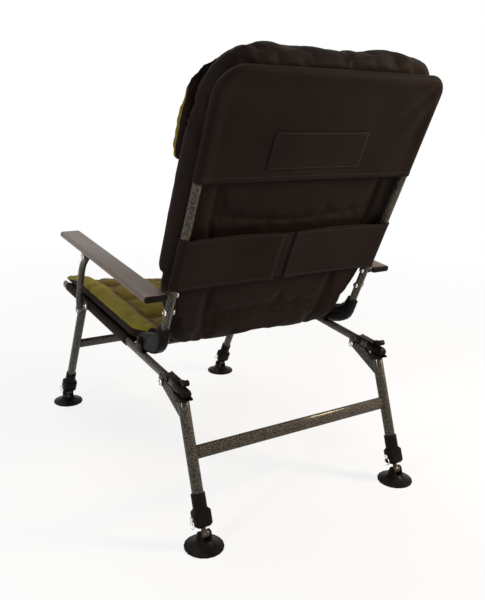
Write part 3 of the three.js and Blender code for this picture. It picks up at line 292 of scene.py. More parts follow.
def bank_dust():
    """Dry dust that lies on faces that look up."""
    tree, given, out = new_group("bank_dust", {"Amount": 0.2}, "Mask")
    normal = add(tree, "ShaderNodeNewGeometry").outputs["Normal"]
    up = add(tree, "ShaderNodeSeparateXYZ", {0: normal}).outputs["Z"]
    facing = ramp(tree, up, [(0.2, 0.0), (0.95, 1.0)])
    spots = ramp(tree, noise_of(tree, given["Vector"], 55.0, 8.0, 0.72), [(0.40, 0.0), (0.70, 1.0)])
    both = math_of(tree, "MULTIPLY", facing, spots)
    tree.links.new(math_of(tree, "MULTIPLY", both, given["Amount"], True), out["Mask"])
    return tree


def moulded_grain():
    """The fine spark-eroded grain of moulded plastic."""
    tree, given, out = new_group("moulded_grain", {}, "Height")
    fine = noise_of(tree, given["Vector"], 1400.0, 2.0)
    broad = noise_of(tree, given["Vector"], 220.0, 3.0)
    tree.links.new(math_of(tree, "ADD", fine, math_of(tree, "MULTIPLY", broad, 0.8)), out["Height"])
    return tree


WEAVE, CREASES, HAMMER, WEAR, DUST, GRAIN = (
    woven_cloth(), soft_creases(), hammered_skin(), edge_wear(), bank_dust(), moulded_grain())


def use(tree, effect, vector, **values):
    made = add(tree, "ShaderNodeGroup", node_tree=effect)
    tree.links.new(vector, made.inputs["Vector"])
    for key, value in values.items():
        made.inputs[key].default_value = value
    return made.outputs


def masked(tree, effect, vector, shade, over, **values):
    """A shade with another laid over it where the mask of an effect says."""
    return blend_colour(tree, use(tree, effect, vector, **values)["Mask"], shade, over)


def drifted(tree, vector, shade, scale, low):
    drift = ramp(tree, noise_of(tree, vector, scale), [(0.3, low), (0.7, 1.0)])
    return blend_colour(tree, 1.0, shade, drift, "MULTIPLY")


def material(name, roughness, metallic=0.0, **sockets):
    made = bpy.data.materials.new(name)
    made.use_nodes = True
    tree = made.node_tree
    shader = tree.nodes["Principled BSDF"]
    shader.inputs["Roughness"].default_value = roughness
    shader.inputs["Metallic"].default_value = metallic
    for key, value in sockets.items():
        shader.inputs[key.replace("_", " ")].default_value = value
    place = add(tree, "ShaderNodeTexCoord").outputs["Object"]
    return made, tree, shader.inputs, place


def bumped(tree, shader, height, distance, strength, under=None):
    made = add(tree, "ShaderNodeBump", {"Height": height, "Distance": distance, "Strength": strength})
    if under is not None:
        tree.links.new(under, made.inputs["Normal"])
    tree.links.new(made.outputs[0], shader["Normal"])
    return made.outputs[0]


# Finishes. The first shade of a pair is the darker one; the others lie on rubbed edges and under dust.

HAMMERED = ((0.014, 0.011, 0.008, 1), (0.150, 0.125, 0.088, 1))
ARM_SPECKS = ((0.108, 0.080, 0.064, 1), (0.190, 0.148, 0.122, 1))
MOULDED = ((0.0040, 0.0034, 0.0028, 1), (0.0080, 0.0066, 0.0054, 1))
PLATED = ((0.66, 0.65, 0.63, 1), (0.84, 0.83, 0.81, 1))
BLACK = ((0.0115, 0.0070, 0.0056, 1), (0.0180, 0.0112, 0.0088, 1))
OLIVE = ((0.150, 0.115, 0.022, 1), (0.240, 0.196, 0.040, 1))
# Painted shade for the olive cloth's recessed panels and channels, painted light for its crowns and borders
CROWN_LIGHT = ((0.26, 0.155, 0.11, 1), (1.05, 1.05, 0.86, 1))
SEWING = ((0.020, 0.017, 0.015, 1), (0.040, 0.034, 0.030, 1))
RUBBED_PAINT = (0.30, 0.27, 0.22, 1)
RUBBED_ARM = (0.42, 0.38, 0.34, 1)
RUBBED_PLASTIC = (0.022, 0.019, 0.016, 1)
PAINT_DUST = (0.30, 0.25, 0.18, 1)
PLASTIC_DUST = (0.12, 0.095, 0.065, 1)
CLOTH_DUST = (0.10, 0.075, 0.050, 1)
CLOTH_LOOK = dict(roughness=0.62, Sheen_Weight=0.008, Specular_IOR_Level=0.035)
THREADS = 420.0
NAP = 330.0


def hammered_paint():
    made, tree, shader, place = material("hammered_paint", 0.4, 0.05, Specular_IOR_Level=0.08,
                                         Coat_Weight=0.32, Coat_Roughness=0.09)
    skin = use(tree, HAMMER, place, Scale=400.0)
    shade = drifted(tree, place, blend_colour(tree, skin["Tone"], *HAMMERED), 14.0, 0.82)
    shade = masked(tree, WEAR, place, shade, RUBBED_PAINT, Radius=0.0012, Amount=0.45)
    tree.links.new(masked(tree, DUST, place, shade, PAINT_DUST, Amount=0.10), shader["Base Color"])
    tree.links.new(ramp(tree, skin["Tone"], [(0.0, 0.52), (1.0, 0.34)]), shader["Roughness"])
    bumped(tree, shader, skin["Height"], 0.00022, 0.8)
    return made


def arm_paint():
    made, tree, shader, place = material("arm_paint", 0.42, 0.05, Specular_IOR_Level=0.12,
                                         Coat_Weight=0.06, Coat_Roughness=0.2)
    specks = ramp(tree, noise_of(tree, place, 900.0, 2.0), [(0.38, 0.0), (0.66, 1.0)])
    shade = drifted(tree, place, blend_colour(tree, specks, *ARM_SPECKS), 11.0, 0.86)
    shade = masked(tree, WEAR, place, shade, RUBBED_ARM, Radius=0.0015, Amount=0.5)
    tree.links.new(shade, shader["Base Color"])
    bumped(tree, shader, noise_of(tree, place, 700.0, 2.0), 0.00012, 0.5)
    return made


def moulded_plastic():
    made, tree, shader, place = material("moulded_plastic", 0.35, Specular_IOR_Level=0.03,
                                         Coat_Weight=0.03, Coat_Roughness=0.10)
    grain = use(tree, GRAIN, place)["Height"]
    shade = ramp(tree, noise_of(tree, place, 35.0, 4.0), [(0.3, MOULDED[0]), (0.7, MOULDED[1])])
    shade = masked(tree, WEAR, place, shade, RUBBED_PLASTIC, Radius=0.0008, Amount=0.2)
    tree.links.new(masked(tree, DUST, place, shade, PLASTIC_DUST, Amount=0.10), shader["Base Color"])
    gloss = ramp(tree, noise_of(tree, place, 90.0), [(0.3, 0.32), (0.7, 0.46)])
    tree.links.new(gloss, shader["Roughness"])
    bumped(tree, shader, grain, 0.00008, 0.6)
    return made


def zinc_plate():
    made, tree, shader, place = material("zinc_plate", 0.28, 0.9)
    cloud = noise_of(tree, place, 160.0, 4.0)
    tree.links.new(ramp(tree, cloud, [(0.3, PLATED[0]), (0.7, PLATED[1])]), shader["Base Color"])
    tree.links.new(ramp(tree, cloud, [(0.3, 0.36), (0.7, 0.22)]), shader["Roughness"])
    bumped(tree, shader, noise_of(tree, place, 600.0, 2.0), 0.00005, 0.5)
    return made


def cloth_shades(tree, vector, thread, shades, patch_scale):
    """The weave of a cloth, and its shade: it changes in patches and along the threads."""
    weave = use(tree, WEAVE, vector, Thread=thread)
    patch = ramp(tree, noise_of(tree, vector, patch_scale, 4.0, 0.6), [(0.32, shades[0]), (0.68, shades[1])])
    return weave, blend_colour(tree, 1.0, patch, weave["Tone"], "MULTIPLY")


def turned(tree, place, angle):
    return add(tree, "ShaderNodeMapping", {"Vector": place, "Rotation": (angle, 0, 0)}).outputs[0]


def black_cloth(name, angle):
    """Black woven polyester; the threads follow the tilt of the frame that carries it."""
    made, tree, shader, place = material(name, **CLOTH_LOOK, Sheen_Roughness=0.5)
    vector = turned(tree, place, angle)
    weave, shade = cloth_shades(tree, vector, THREADS, BLACK, 7.0)
    tree.links.new(masked(tree, DUST, place, shade, CLOTH_DUST, Amount=0.04), shader["Base Color"])
    creases = use(tree, CREASES, vector, Scale=9.0)["Height"]
    under = bumped(tree, shader, creases, 0.004, 0.35)
    bumped(tree, shader, weave["Height"], 0.00022, 0.6, under)
    return made


def quilted_cloth(name, angle):
    """Olive brushed cloth on the sitter's side and black cloth round the rest: the line between them is
    where the mesh's own front value crosses zero. Its crown value is painted light on the olive cloth:
    painted shade darkens the recessed panels and the channels by the seams, painted light brightens crowns and
    borders."""
    made, tree, shader, place = material(name, **CLOTH_LOOK, Sheen_Roughness=0.45)
    vector = turned(tree, place, angle)
    weave, black = cloth_shades(tree, vector, THREADS, BLACK, 7.0)
    _, olive = cloth_shades(tree, vector, NAP, OLIVE, 13.0)
    # Painted light and shade: the crown value darkens the olive cloth in its recesses and lightens its crowns
    crown = add(tree, "ShaderNodeAttribute", attribute_name="crown").outputs["Fac"]
    olive = blend_colour(tree, 1.0, olive, blend_colour(tree, crown, *CROWN_LIGHT), "MULTIPLY")
    front = add(tree, "ShaderNodeAttribute", attribute_name="front").outputs["Fac"]
    edge = add(tree, "ShaderNodeMath", {0: front, 1: 900.0, 2: 0.5}, operation="MULTIPLY_ADD",
               use_clamp=True).outputs[0]
    share = ramp(tree, edge, [(0.35, 0.0), (0.65, 1.0)])
    tree.links.new(blend_colour(tree, share, black, olive), shader["Base Color"])
    creases = use(tree, CREASES, vector, Scale=16.0)["Height"]
    under = bumped(tree, shader, creases, 0.004, 0.4)
    bumped(tree, shader, weave["Height"], 0.0002, 0.5, under)
    return made


def sewing_thread():
    made, tree, shader, place = material("dark_thread", 0.7)
    ply = add(tree, "ShaderNodeTexWave", {"Vector": place, "Scale": 900.0, "Distortion": 2.0},
              bands_direction="DIAGONAL").outputs["Fac"]
    tree.links.new(ramp(tree, ply, [(0.2, SEWING[0]), (0.8, SEWING[1])]), shader["Base Color"])
    bumped(tree, shader, ply, 0.0001, 0.6)
    return made


PAINT = hammered_paint()
ARM_PAINT = arm_paint()
PLASTIC = moulded_plastic()
ZINC = zinc_plate()
BACK_CLOTH = black_cloth("back_cloth", BACK_LEAN)
SEAT_CLOTH = black_cloth("seat_cloth", SEAT_PITCH)
BACK_QUILT = quilted_cloth("back_quilt", BACK_LEAN)
SEAT_QUILT = quilted_cloth("seat_quilt", SEAT_PITCH)
DARK_THREAD = sewing_thread()


# Pieces


def linked(name, data):
    made = bpy.data.objects.new(name, data)
    SCENE.collection.objects.link(made)
    return made


def object_of(name, bm):
    mesh = bpy.data.meshes.new(name)
    bm.to_mesh(mesh)
    bm.free()
    return linked(name, mesh)


def finished(name, bm, finish, body, place=None):
    """A bmesh in its own tilted frame becomes a named piece that rides on a body."""
    if place is not None:
        bm.transform(place)
    bmesh.ops.recalc_face_normals(bm, faces=bm.faces)
    made = object_of(name, bm)
    made.data.materials.append(finish)
    made.data.shade_smooth()
    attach(made, body)
    return made


def modifier(piece, kind, **settings):
    made = piece.modifiers.new(kind.lower(), kind)
    for key, value in settings.items():
        setattr(made, key, value)
    return made


# Padded pieces: a divided box is drawn into the cushion's form, remeshed, held along its seams and blown
# up by cloth simulation with a capped travel, and its channels are pressed in afterwards


def divided_box(cuts):
    bm = bmesh.new()
    bmesh.ops.create_cube(bm, size=2)
    bmesh.ops.subdivide_edges(bm, edges=bm.edges, cuts=cuts, use_grid_fill=True)
    return bm


def remeshed(bm):
    bmesh.ops.recalc_face_normals(bm, faces=bm.faces)
    form = object_of("form", bm)
    modifier(form, "REMESH", mode="VOXEL", voxel_size=VOXEL, use_smooth_shade=True)
    return form, applied(form)


def applied(form):
    graph = bpy.context.evaluated_depsgraph_get()
    return bpy.data.meshes.new_from_object(form.evaluated_get(graph))


def swollen(form, mesh, held, travel):
    """The mesh after cloth simulation under pressure; held says how firmly a point is sewn down."""
    form.modifiers.clear()
    form.data = mesh
    start = [v.co.copy() for v in mesh.vertices]
    group = form.vertex_groups.new(name="held")
    for v in mesh.vertices:
        group.add([v.index], held(v.co), "REPLACE")
    cloth = modifier(form, "CLOTH").settings
    for key, value in SWELL.items():
        setattr(cloth, key, value)
    cloth.effector_weights.gravity = 0
    for step in range(1, SWELL_STEPS + 1):
        SCENE.frame_set(step)
    blown = applied(form)
    SCENE.frame_set(1)
    for v, rest in zip(blown.vertices, start):
        move = v.co - rest
        move.x *= SIDE_PULL
        v.co = rest + move
        if move.length > travel:
            v.co = rest + move * (travel / move.length)
    return blown


def cushion(name, bm, travel, held, seam, limit, front, crown, finish, body, place):
    """held(point) is how firmly the cloth is sewn down, seam(point) how deep a channel is pressed in,
    limit(point) keeps the piece in its room, and the finish reads front and crown, crown being the share of
    painted light and painted shade on the olive cloth."""
    form, mesh = remeshed(bm)
    resting = [v.co.copy() for v in mesh.vertices]
    mesh = swollen(form, mesh, held, travel)
    bpy.data.objects.remove(form)
    soft = bmesh.new()
    soft.from_mesh(mesh)
    bmesh.ops.smooth_vert(soft, verts=soft.verts, factor=0.5,
                          use_axis_x=True, use_axis_y=True, use_axis_z=True)
    soft.normal_update()
    layers = [(soft.verts.layers.float.new(of_point.__name__), of_point) for of_point in (front, crown)]
    moves = [v.normal * -seam(rest) for v, rest in zip(soft.verts, resting)]
    for v, rest, move in zip(soft.verts, resting, moves):
        v.co = limit(v.co + move)
        for layer, of_point in layers:
            v[layer] = of_point(rest)
    made = finished(name, soft, finish, body, place)
    modifier(made, "SUBSURF", levels=1, render_levels=1)
    return made


def rounded(a, b, power):
    """A point of a square moved so that the outline gets round corners, and its reach in the square."""
    reach = max(abs(a), abs(b))
    norm = (abs(a) ** power + abs(b) ** power) ** (1 / power)
    share = reach / norm if norm > 0 else 1
    return a * share, b * share, reach


def rim_drawn(pad, level, reach):
    """How far the rim of a form is drawn in towards its two faces."""
    return pad.drawn * abs(level) * reach ** RIM_POWER


def welted(pad, distance):
    """How deep the welt between olive and black cloth lies at a distance from its line."""
    return pad.welt * fade(0, WELT_WIDE, distance)


def creased(p, scales):
    return noise.noise(Vector([value * scale for value, scale in zip(p, scales)]))


def crowned(border, distance):
    """How much painted light a point of an olive face takes: the borders and the crowns between seams take
    most, and painted shade lies in the channels next to the seams.
    """
    return min(1, border + 0.15 + 0.35 * smooth(0.0, 0.03, distance))


# Seat cushion


def seat_sag(x, y, front, rear):
    """How far the seat hangs below the level of its sides."""
    lip = min(max(0, 1 - (y - SEAT_PAD.front) / SEAT_PAD.sag_long), 1)
    return mix(rear, front, lip ** SAG_ALONG) * (1 - min(abs(x) / SEAT_PAD.half, 1) ** SAG_ACROSS)


def seat_under(x, y):
    """Height of the cushion's underside, which rests on the cloth of the seat."""
    level = smooth(*SEAT_PAD.level, y)
    return SEAT_PAD.under - seat_sag(x, y, SEAT_PAD.under_sag, SEAT_PAD.sling_sag) * (1 - level)


def seat_top(x, y):
    """Height of the cushion's top above the rails' centre line, before it swells."""
    pad = SEAT_PAD
    ahead = min(max(y - pad.front, 0), pad.rear - pad.front)
    border = smooth(pad.border - pad.inside, pad.border + pad.outside, abs(x))
    lip = max(0, 1 - ahead / pad.lip)
    fall = pad.drop * lip ** 2 * (0.45 + 0.55 * border)
    across = min(abs(y - seam) for seam in SEAT_SEAMS)
    dip = pad.dip * fade(0, pad.dip_wide, across) * (1 - border)
    return mix(pad.panel, pad.top, border) - dip - fall - seat_sag(x, y, pad.front_sag, 0)


def seat_seam_distance(p):
    """How far a point of the seat lies from its nearest seam, on top."""
    pad = SEAT_PAD
    across = min(abs(p.y - seam) for seam in SEAT_SEAMS) if abs(p.x) < pad.border else 1
    along = abs(abs(p.x) - pad.border)
    return min(across, along)


def seat_edge(y):
    """Height of the line between olive and black cloth round the seat."""
    return seat_top(SEAT_PAD.half, y) - SEAT_PAD.edge


def seat_cushion():
    pad = SEAT_PAD
    length = pad.rear - pad.front
    bm = divided_box(pad.cuts)
    for v in bm.verts:
        a, b, reach = rounded(v.co.x, v.co.y, pad.corner)
        level = (v.co.z + 1) / 2
        drawn = rim_drawn(pad, v.co.z, reach)
        half = mix(pad.half, pad.rear_half, smooth(*pad.narrow, b))
        x = a * half - drawn * a
        y = pad.front + (b + 1) * length / 2 - drawn * b
        top = seat_top(x, y) - pad.rear_fall * max(0, b) ** FALL_POWER
        low = seat_under(x, y) if y > pad.front + 0.004 else top - pad.thick
        v.co = (x, y, mix(low, max(top, low + pad.thin), level))

    def held(p):
        sewn = fade(*pad.sewn, seat_seam_distance(p))
        resting = fade(0, 0.004, p.z - seat_under(p.x, p.y))
        rim = fade(0.001, 0.005, abs(p.z - seat_edge(p.y))) if abs(p.x) > 0.24 else 0
        on_top = p.z > seat_top(p.x, p.y) - 0.008
        return max(sewn if on_top else 0, resting, 0.6 * rim)

    def seam(p):
        if p.z < seat_under(p.x, p.y) + 0.006:
            return 0
        groove = pad.groove * fade(0, pad.groove_wide, seat_seam_distance(p))
        welt = welted(pad, abs(p.z - seat_edge(p.y))) if abs(p.x) > 0.235 else 0
        return groove + welt + pad.crease * creased(p, pad.creases)

    def limit(p):
        p.z = max(p.z, seat_under(p.x, p.y))
        return p

    def front(p):
        return min(p.z - seat_top(p.x, p.y) + pad.edge, pad.front_edge - p.y)

    def crown(p):
        border = smooth(pad.border - 0.01, pad.border + 0.02, abs(p.x))
        return crowned(border, seat_seam_distance(p))

    made = cushion("seat_pad", bm, pad.travel, held, seam, limit, front, crown,
                   SEAT_QUILT, "seat_frame", SEAT)
    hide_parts("seat_cushion")


# Back cushion


def stepped(steps, u):
    """A value that runs straight between the heights of its steps."""
    if u <= steps[0][0]:
        return steps[0][1]
    for (low, below), (high, above) in zip(steps, steps[1:]):
        if u < high:
            return mix(below, above, (u - low) / (high - low))
    return steps[-1][1]


def back_seam_distance(x, u):
    """How far a point of the back cushion lies from its nearest seam."""
    border = stepped(BACK_BORDER, u)
    along = abs(abs(x) - border)
    if abs(x) > border:
        return along
    sag = BACK_SEAM_SAG.deep * (1 - (x / BACK_BORDER[-1][1]) ** 2)
    middle, reach = BACK_SEAM_SAG.middle, BACK_SEAM_SAG.reach
    across = min(abs(u - seam + sag * (1 - abs(seam - middle) / reach)) for seam in BACK_SEAMS)
    return min(across, along)


def back_front(u):
    """How far behind the hinge the back cushion's front lies; it is fuller above the sitter's hips."""
    return BACK_PAD.front - BACK_PAD.fuller * smooth(*BACK_PAD.fuller_from, u)


def back_cushion():
    pad, room = BACK_PAD, BACK_ROOM
    middle = (pad.top + pad.foot) / 2
    tall = (pad.top - pad.foot) / 2
    bm = divided_box(pad.cuts)
    for v in bm.verts:
        upper = pad.left_corner if v.co.x > 0 else pad.right_corner
        a, b, reach = rounded(v.co.x, v.co.z, mix(pad.foot_corner, upper, smooth(0, 0.5, v.co.z)))
        drawn = rim_drawn(pad, v.co.y, reach)
        u = middle + b * tall - drawn * b
        x = a * (pad.half - stepped(BACK_PAD_SIDES, u)) - drawn * a
        u -= pad.dip * smooth(0.55, 0.65, u) * fade(0.05, 0.13, abs(x - pad.dip_at))
        rim = pad.rim * reach ** 14
        v.co = (x, mix(back_front(u) + rim, pad.rear - rim, (v.co.y + 1) / 2), u)

    def on_face(p):
        return p.y < back_front(p.z) + ON_FACE or p.y > pad.rear - ON_FACE

    def held(p):
        sewn = fade(*pad.sewn, back_seam_distance(p.x, p.z))
        return sewn if on_face(p) and abs(p.x) < 0.235 else 0

    def seam(p):
        plain = fade(*pad.plain_top, p.z)
        channel = fade(0, pad.groove_wide, back_seam_distance(p.x, p.z))
        groove = pad.groove * plain * channel if on_face(p) else 0
        welt = welted(pad, abs(p.y - back_front(p.z) - pad.edge))
        side = smooth(0.225, 0.250, abs(p.x)) * smooth(0.47, 0.52, p.z) * fade(0.57, 0.61, p.z)
        gather = pad.gather * side * sin(p.z * 560 + p.y * 200 + 2 * sin(p.z * 37))
        creases = (pad.top_crease + pad.crease * plain) * creased(p, pad.creases)
        return groove + welt + gather + creases

    def limit(p):
        between = fade(*ON_TUBES, abs(p.x))
        above_band = smooth(BAND_TOP, BAND_TOP + 0.02, p.z)
        open_back = between * above_band * fade(PANEL_FOOT - 0.02, PANEL_FOOT, p.z)
        below = between * fade(BAND_FOOT - 0.02, BAND_FOOT, p.z)
        p.y = min(p.y, room.rear + room.bulge * max(open_back, below))
        if p.z < room.covers_top:
            p.x = max(-room.covers, min(room.covers, p.x))
        round_foot = room.foot_slope * max(0, room.foot_round - p.z)
        p.y = max(p.y, back_front(p.z) - mix(0.001, 0.010, smooth(0.060, 0.120, p.z)) + round_foot)
        return p

    def front(p):
        return back_front(p.z) + pad.edge - p.y

    def crown(p):
        return crowned(0.7 * smooth(0.19, 0.22, abs(p.x)), back_seam_distance(p.x, p.z))

    made = cushion("back_pad", bm, pad.travel, held, seam, limit, front, crown,
                   BACK_QUILT, "back_frame", BACK)
    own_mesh(made)
    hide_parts("back_cushion")


def head_pillow():
    pad = PILLOW
    middle = (pad.top + pad.foot) / 2
    tall = (pad.top - pad.foot) / 2
    bm = divided_box(pad.cuts)
    for v in bm.verts:
        corner = mix(pad.foot_corner, pad.top_corner, smooth(-0.5, 0.1, v.co.z))
        a, b, reach = rounded(v.co.x, v.co.z, corner)
        drawn = rim_drawn(pad, v.co.y, reach)
        rim = (pad.rim + pad.top_rim * smooth(-0.2, 0.6, b)) * reach ** 5
        v.co = (a * pad.half - drawn * a, mix(pad.front + rim, pad.rear, (v.co.y + 1) / 2),
                middle + b * tall - drawn * b)

    def held(p):
        return fade(0, 0.004, pad.rear - p.y)

    def seam(p):
        gather = pad.gather * smooth(0.21, 0.255, abs(p.x)) * sin(p.z * 240 + 1.5 * sin(p.z * 51))
        return gather + welted(pad, abs(p.y - pad.edge)) + pad.crease * creased(p, pad.creases)

    def limit(p):
        p.y = min(p.y, pad.rear)
        return p

    def front(p):
        return pad.front_edge - p.y

    # Painted light: the pillow's olive face is painted lighter towards its sides
    def crown(p):
        return 0.45 + 0.4 * smooth(0.20, 0.25, abs(p.x))

    made = cushion("pillow", bm, pad.travel, held, seam, limit, front, crown,
                   BACK_QUILT, "back_frame", BACK)
    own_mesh(made)
    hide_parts("head_pillow")


# Cloth panels on the back frame


def back_panel(name, bm, offset=0):
    made = finished(name, bm, BACK_CLOTH, "back_frame", BACK)
    modifier(made, "SOLIDIFY", thickness=CLOTH, offset=offset)
    return made


def cloth_grid(columns, rows, point_of):
    """A grid of cloth; point_of gives each point from its shares across and up."""
    bm = bmesh.new()
    bmesh.ops.create_grid(bm, x_segments=columns, y_segments=rows, size=1)
    for v in bm.verts:
        v.co = point_of((v.co.x + 1) / 2, (v.co.y + 1) / 2)
    return bm


def drawn_out(line, rows, step):
    """A sheet made by drawing out a line of points row by row."""
    bm = bmesh.new()
    start = [bm.verts.new(point) for point in line]
    edges = [bm.edges.new(pair) for pair in zip(start, start[1:])]
    for _ in range(rows):
        grown = bmesh.ops.extrude_edge_only(bm, edges=edges)["geom"]
        new = [item for item in grown if isinstance(item, bmesh.types.BMVert)]
        edges = [e for e in grown if isinstance(e, bmesh.types.BMEdge) and all(v in new for v in e.verts)]
        bmesh.ops.translate(bm, verts=new, vec=step)
    return bm


def panel_rear(x, u):
    """How far behind the hinge the cover's rear face lies: round over the tubes, slack between them."""
    d = min(PANEL_HALF - abs(x), PANEL_TOP - u)
    if d < COVER:
        return TUBE_BEHIND + (max(COVER ** 2 - (COVER - max(d, 0)) ** 2, 0)) ** 0.5
    slack = PANEL_SLACK * smooth(COVER, 0.036, d)
    wave = PANEL_WAVE * smooth(0.02, 0.09, d) * noise.noise(Vector((x * 6 + u * 3, 0.3, u * 7)))
    return TUBE_BEHIND + COVER - slack + wave + corner_folds(x, u)


def corner_folds(x, u):
    """Short folds that run out from the cover's pulled corner."""
    across, down = x + PANEL_HALF, PANEL_TOP - u
    away = hypot(across, down)
    reach = smooth(0.022, 0.05, away) * fade(0.09, 0.17, away)
    return FOLD * reach * (1 + sin(FOLDS * atan2(down, across) + 0.6)) if x < 0 else 0


def cornered(x, u):
    """A point of the cover's square grid moved so that the upper corners are round."""
    corner = COVER + (BACK_CORNER if x > 0 else CORNER_PULLED)
    side, above = PANEL_HALF - abs(x), PANEL_TOP - u
    if side >= corner or above >= corner:
        return x, u
    radius = corner - min(side, above)
    if side <= above:
        angle = (u - PANEL_TOP + corner) / radius * pi / 4
    else:
        angle = pi / 2 - (abs(x) - PANEL_HALF + corner) / radius * pi / 4
    across = PANEL_HALF - corner + radius * cos(angle)
    return (across if x > 0 else -across), PANEL_TOP - corner + radius * sin(angle)


def rim_spaced(share):
    """Columns close together over the tubes and even between: share runs from -1 to 1."""
    size = abs(share)
    if size > 1 - RIM_COLUMNS:
        reach = PANEL_HALF - COVER * (1 - cos((1 - size) / RIM_COLUMNS * pi / 2))
    else:
        reach = size / (1 - RIM_COLUMNS) * (PANEL_HALF - COVER)
    return reach if share > 0 else -reach


def upper_cover():
    """A pocket of black cloth pulled over the frame from above, with a hem along its open foot."""
    bm = bmesh.new()
    bmesh.ops.create_grid(bm, x_segments=96, y_segments=40, size=1)
    for v in bm.verts:
        x = rim_spaced(v.co.x)
        rise = (v.co.y + 1) / 2
        if rise > 1 - RIM_ROWS:
            u = PANEL_TOP - COVER * (1 - cos((1 - rise) / RIM_ROWS * pi / 2))
        else:
            u = PANEL_FOOT + rise / (1 - RIM_ROWS) * (PANEL_TOP - COVER - PANEL_FOOT)
        behind = panel_rear(x, u) + smooth(0, 0.0015, PANEL_FOOT + HEM - u) * 0.0008
        x, u = cornered(x, u)
        v.co = (x, behind, u)
    front = bmesh.ops.duplicate(bm, geom=bm.verts[:] + bm.edges[:] + bm.faces[:])["geom"]
    for v in (item for item in front if isinstance(item, bmesh.types.BMVert)):
        behind = v.co.y - TUBE_BEHIND
        v.co.y = TUBE_BEHIND - min(behind, COVER - 0.0003)
    bmesh.ops.remove_doubles(bm, verts=bm.verts, dist=0.00005)
    made = back_panel("upper_cover", bm, offset=-1)
    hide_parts("upper_panel")


def polyline(points):
    """A path along straight runs, as a function of a share of its length, and that length."""
    points = [Vector(point) for point in points]
    ends = [0]
    for a, b in zip(points, points[1:]):
        ends.append(ends[-1] + (b - a).length)

    def path(share):
        run = min(max(share, 0), 1) * ends[-1]
        i = next((k for k in range(1, len(ends) - 1) if run < ends[k]), len(ends) - 1)
        return points[i - 1].lerp(points[i], (run - ends[i - 1]) / (ends[i] - ends[i - 1]))

    return path, ends[-1]


def stitch_row(bm, points):
    """Loops of thread that stand on the cloth along a line."""
    path, length = polyline(points)
    count = max(1, round(length / STITCH_PITCH))
    for i in range(count):
        here, there = path((i + 0.2) / count), path((i + 0.8) / count)
        run = there - here
        turn = run.to_track_quat("X", "Y").to_matrix().to_4x4()
        size = Matrix.Diagonal((run.length / 2, STITCH_THICK, STITCH_THICK, 1))
        place = Matrix.Translation((here + there) / 2) @ turn @ size
        bmesh.ops.create_icosphere(bm, subdivisions=1, radius=1, matrix=place)


def thread_piece(name, rows):
    bm = bmesh.new()
    for points in rows:
        stitch_row(bm, points)
    finished(name, bm, DARK_THREAD, "back_frame", BACK)


def cover_patch():
    """A stitched rectangle of the same cloth on the cover."""
    def point(across, up):
        x, u = mix(PATCH.right, PATCH.left, across), mix(PATCH.foot, PATCH.top, up)
        return x, panel_rear(x, u) + CLOTH * 0.5, u

    made = back_panel("cover_patch", cloth_grid(40, 14, point))


def cover_stitches():
    left, right = PATCH.left - PATCH.inset, PATCH.right + PATCH.inset
    foot, top = PATCH.foot + PATCH.inset, PATCH.top - PATCH.inset
    side_steps, hem_steps = 12, 60
    corners = ((left, foot), (left, top), (right, top), (right, foot), (left, foot))
    outline = []
    for (x0, u0), (x1, u1) in zip(corners, corners[1:]):
        shares = [i / side_steps for i in range(side_steps)]
        outline += [(mix(x0, x1, share), mix(u0, u1, share)) for share in shares]
    outline.append(corners[-1])
    patch = [(x, panel_rear(x, u) + CLOTH * 1.1, u) for x, u in outline]
    reach = PANEL_HALF - COVER
    hem_line = PANEL_FOOT + HEM - 0.0025
    hem = [(mix(-reach, reach, i / hem_steps), hem_line) for i in range(hem_steps + 1)]
    thread_piece("cover_stitches", [patch, [(x, panel_rear(x, u) + 0.0010, u) for x, u in hem]])


def lumbar_tongue():
    """The strip under the slit, where one half of the band passes behind the other."""
    inset = TONGUE.inset

    def point(across, up):
        x = BAND_LEFT_EDGE + TONGUE.past - across * TONGUE.wide
        u = mix(BAND_FOOT + inset, BAND_TOP - inset, up)
        return x, TUBE_BEHIND + COVER - TONGUE.deeper - TONGUE.bow * sin(pi * up), u

    made = back_panel("lumbar_tongue", cloth_grid(10, 20, point))


def band_path(sign, inner, lower):
    """Across one half of the lumbar band, from its free edge round the tube and back to its seam."""
    web_steps, wrap_steps, seam_steps = 34, 10, 6
    face = TUBE_BEHIND + COVER
    points = []
    for i in range(web_steps + 1):
        share = i / web_steps
        sag = BAND_SAG * sin(pi * share)
        points.append((mix(inner, BACK_X, share), face - lower * fade(0.7, 0.95, share) - sag))
    for i in range(1, wrap_steps + 1):
        angle = pi / 2 - i / wrap_steps * pi * BAND_WRAP
        points.append((BACK_X + COVER * cos(angle), TUBE_BEHIND + COVER * sin(angle)))
    last, seam = points[-1], (BACK_X - BAND_SEAM, face - CLOTH - BAND_SEAM_GAP)
    for i in range(1, seam_steps + 1):
        share = i / seam_steps
        points.append((mix(last[0], seam[0], share), mix(last[1], seam[1], share ** 1.3)))
    return [(sign * x, a) for x, a in points]


def lumbar_rows(bm, step, inner):
    """The lines of stitches of one half of the band: along its head and foot and beside its free edge."""
    proud = CLOTH / 2 + 0.0002
    behind = [v.co for v in bm.verts if v.co.y > TUBE_BEHIND + COVER * 0.7 and abs(v.co.x) < BACK_X - 0.002]
    rows = []
    for level in (BAND_FOOT + step, BAND_TOP - step):
        rows.append(sorted((c for c in behind if abs(c.z - level) < step * 0.45), key=lambda c: c.x))
    edge = [c for c in behind if 0.004 < abs(abs(c.x) - inner) < 0.011]
    rows.append(sorted(edge, key=lambda c: c.z))
    return [[(c.x, c.y + proud, c.z) for c in row] for row in rows]


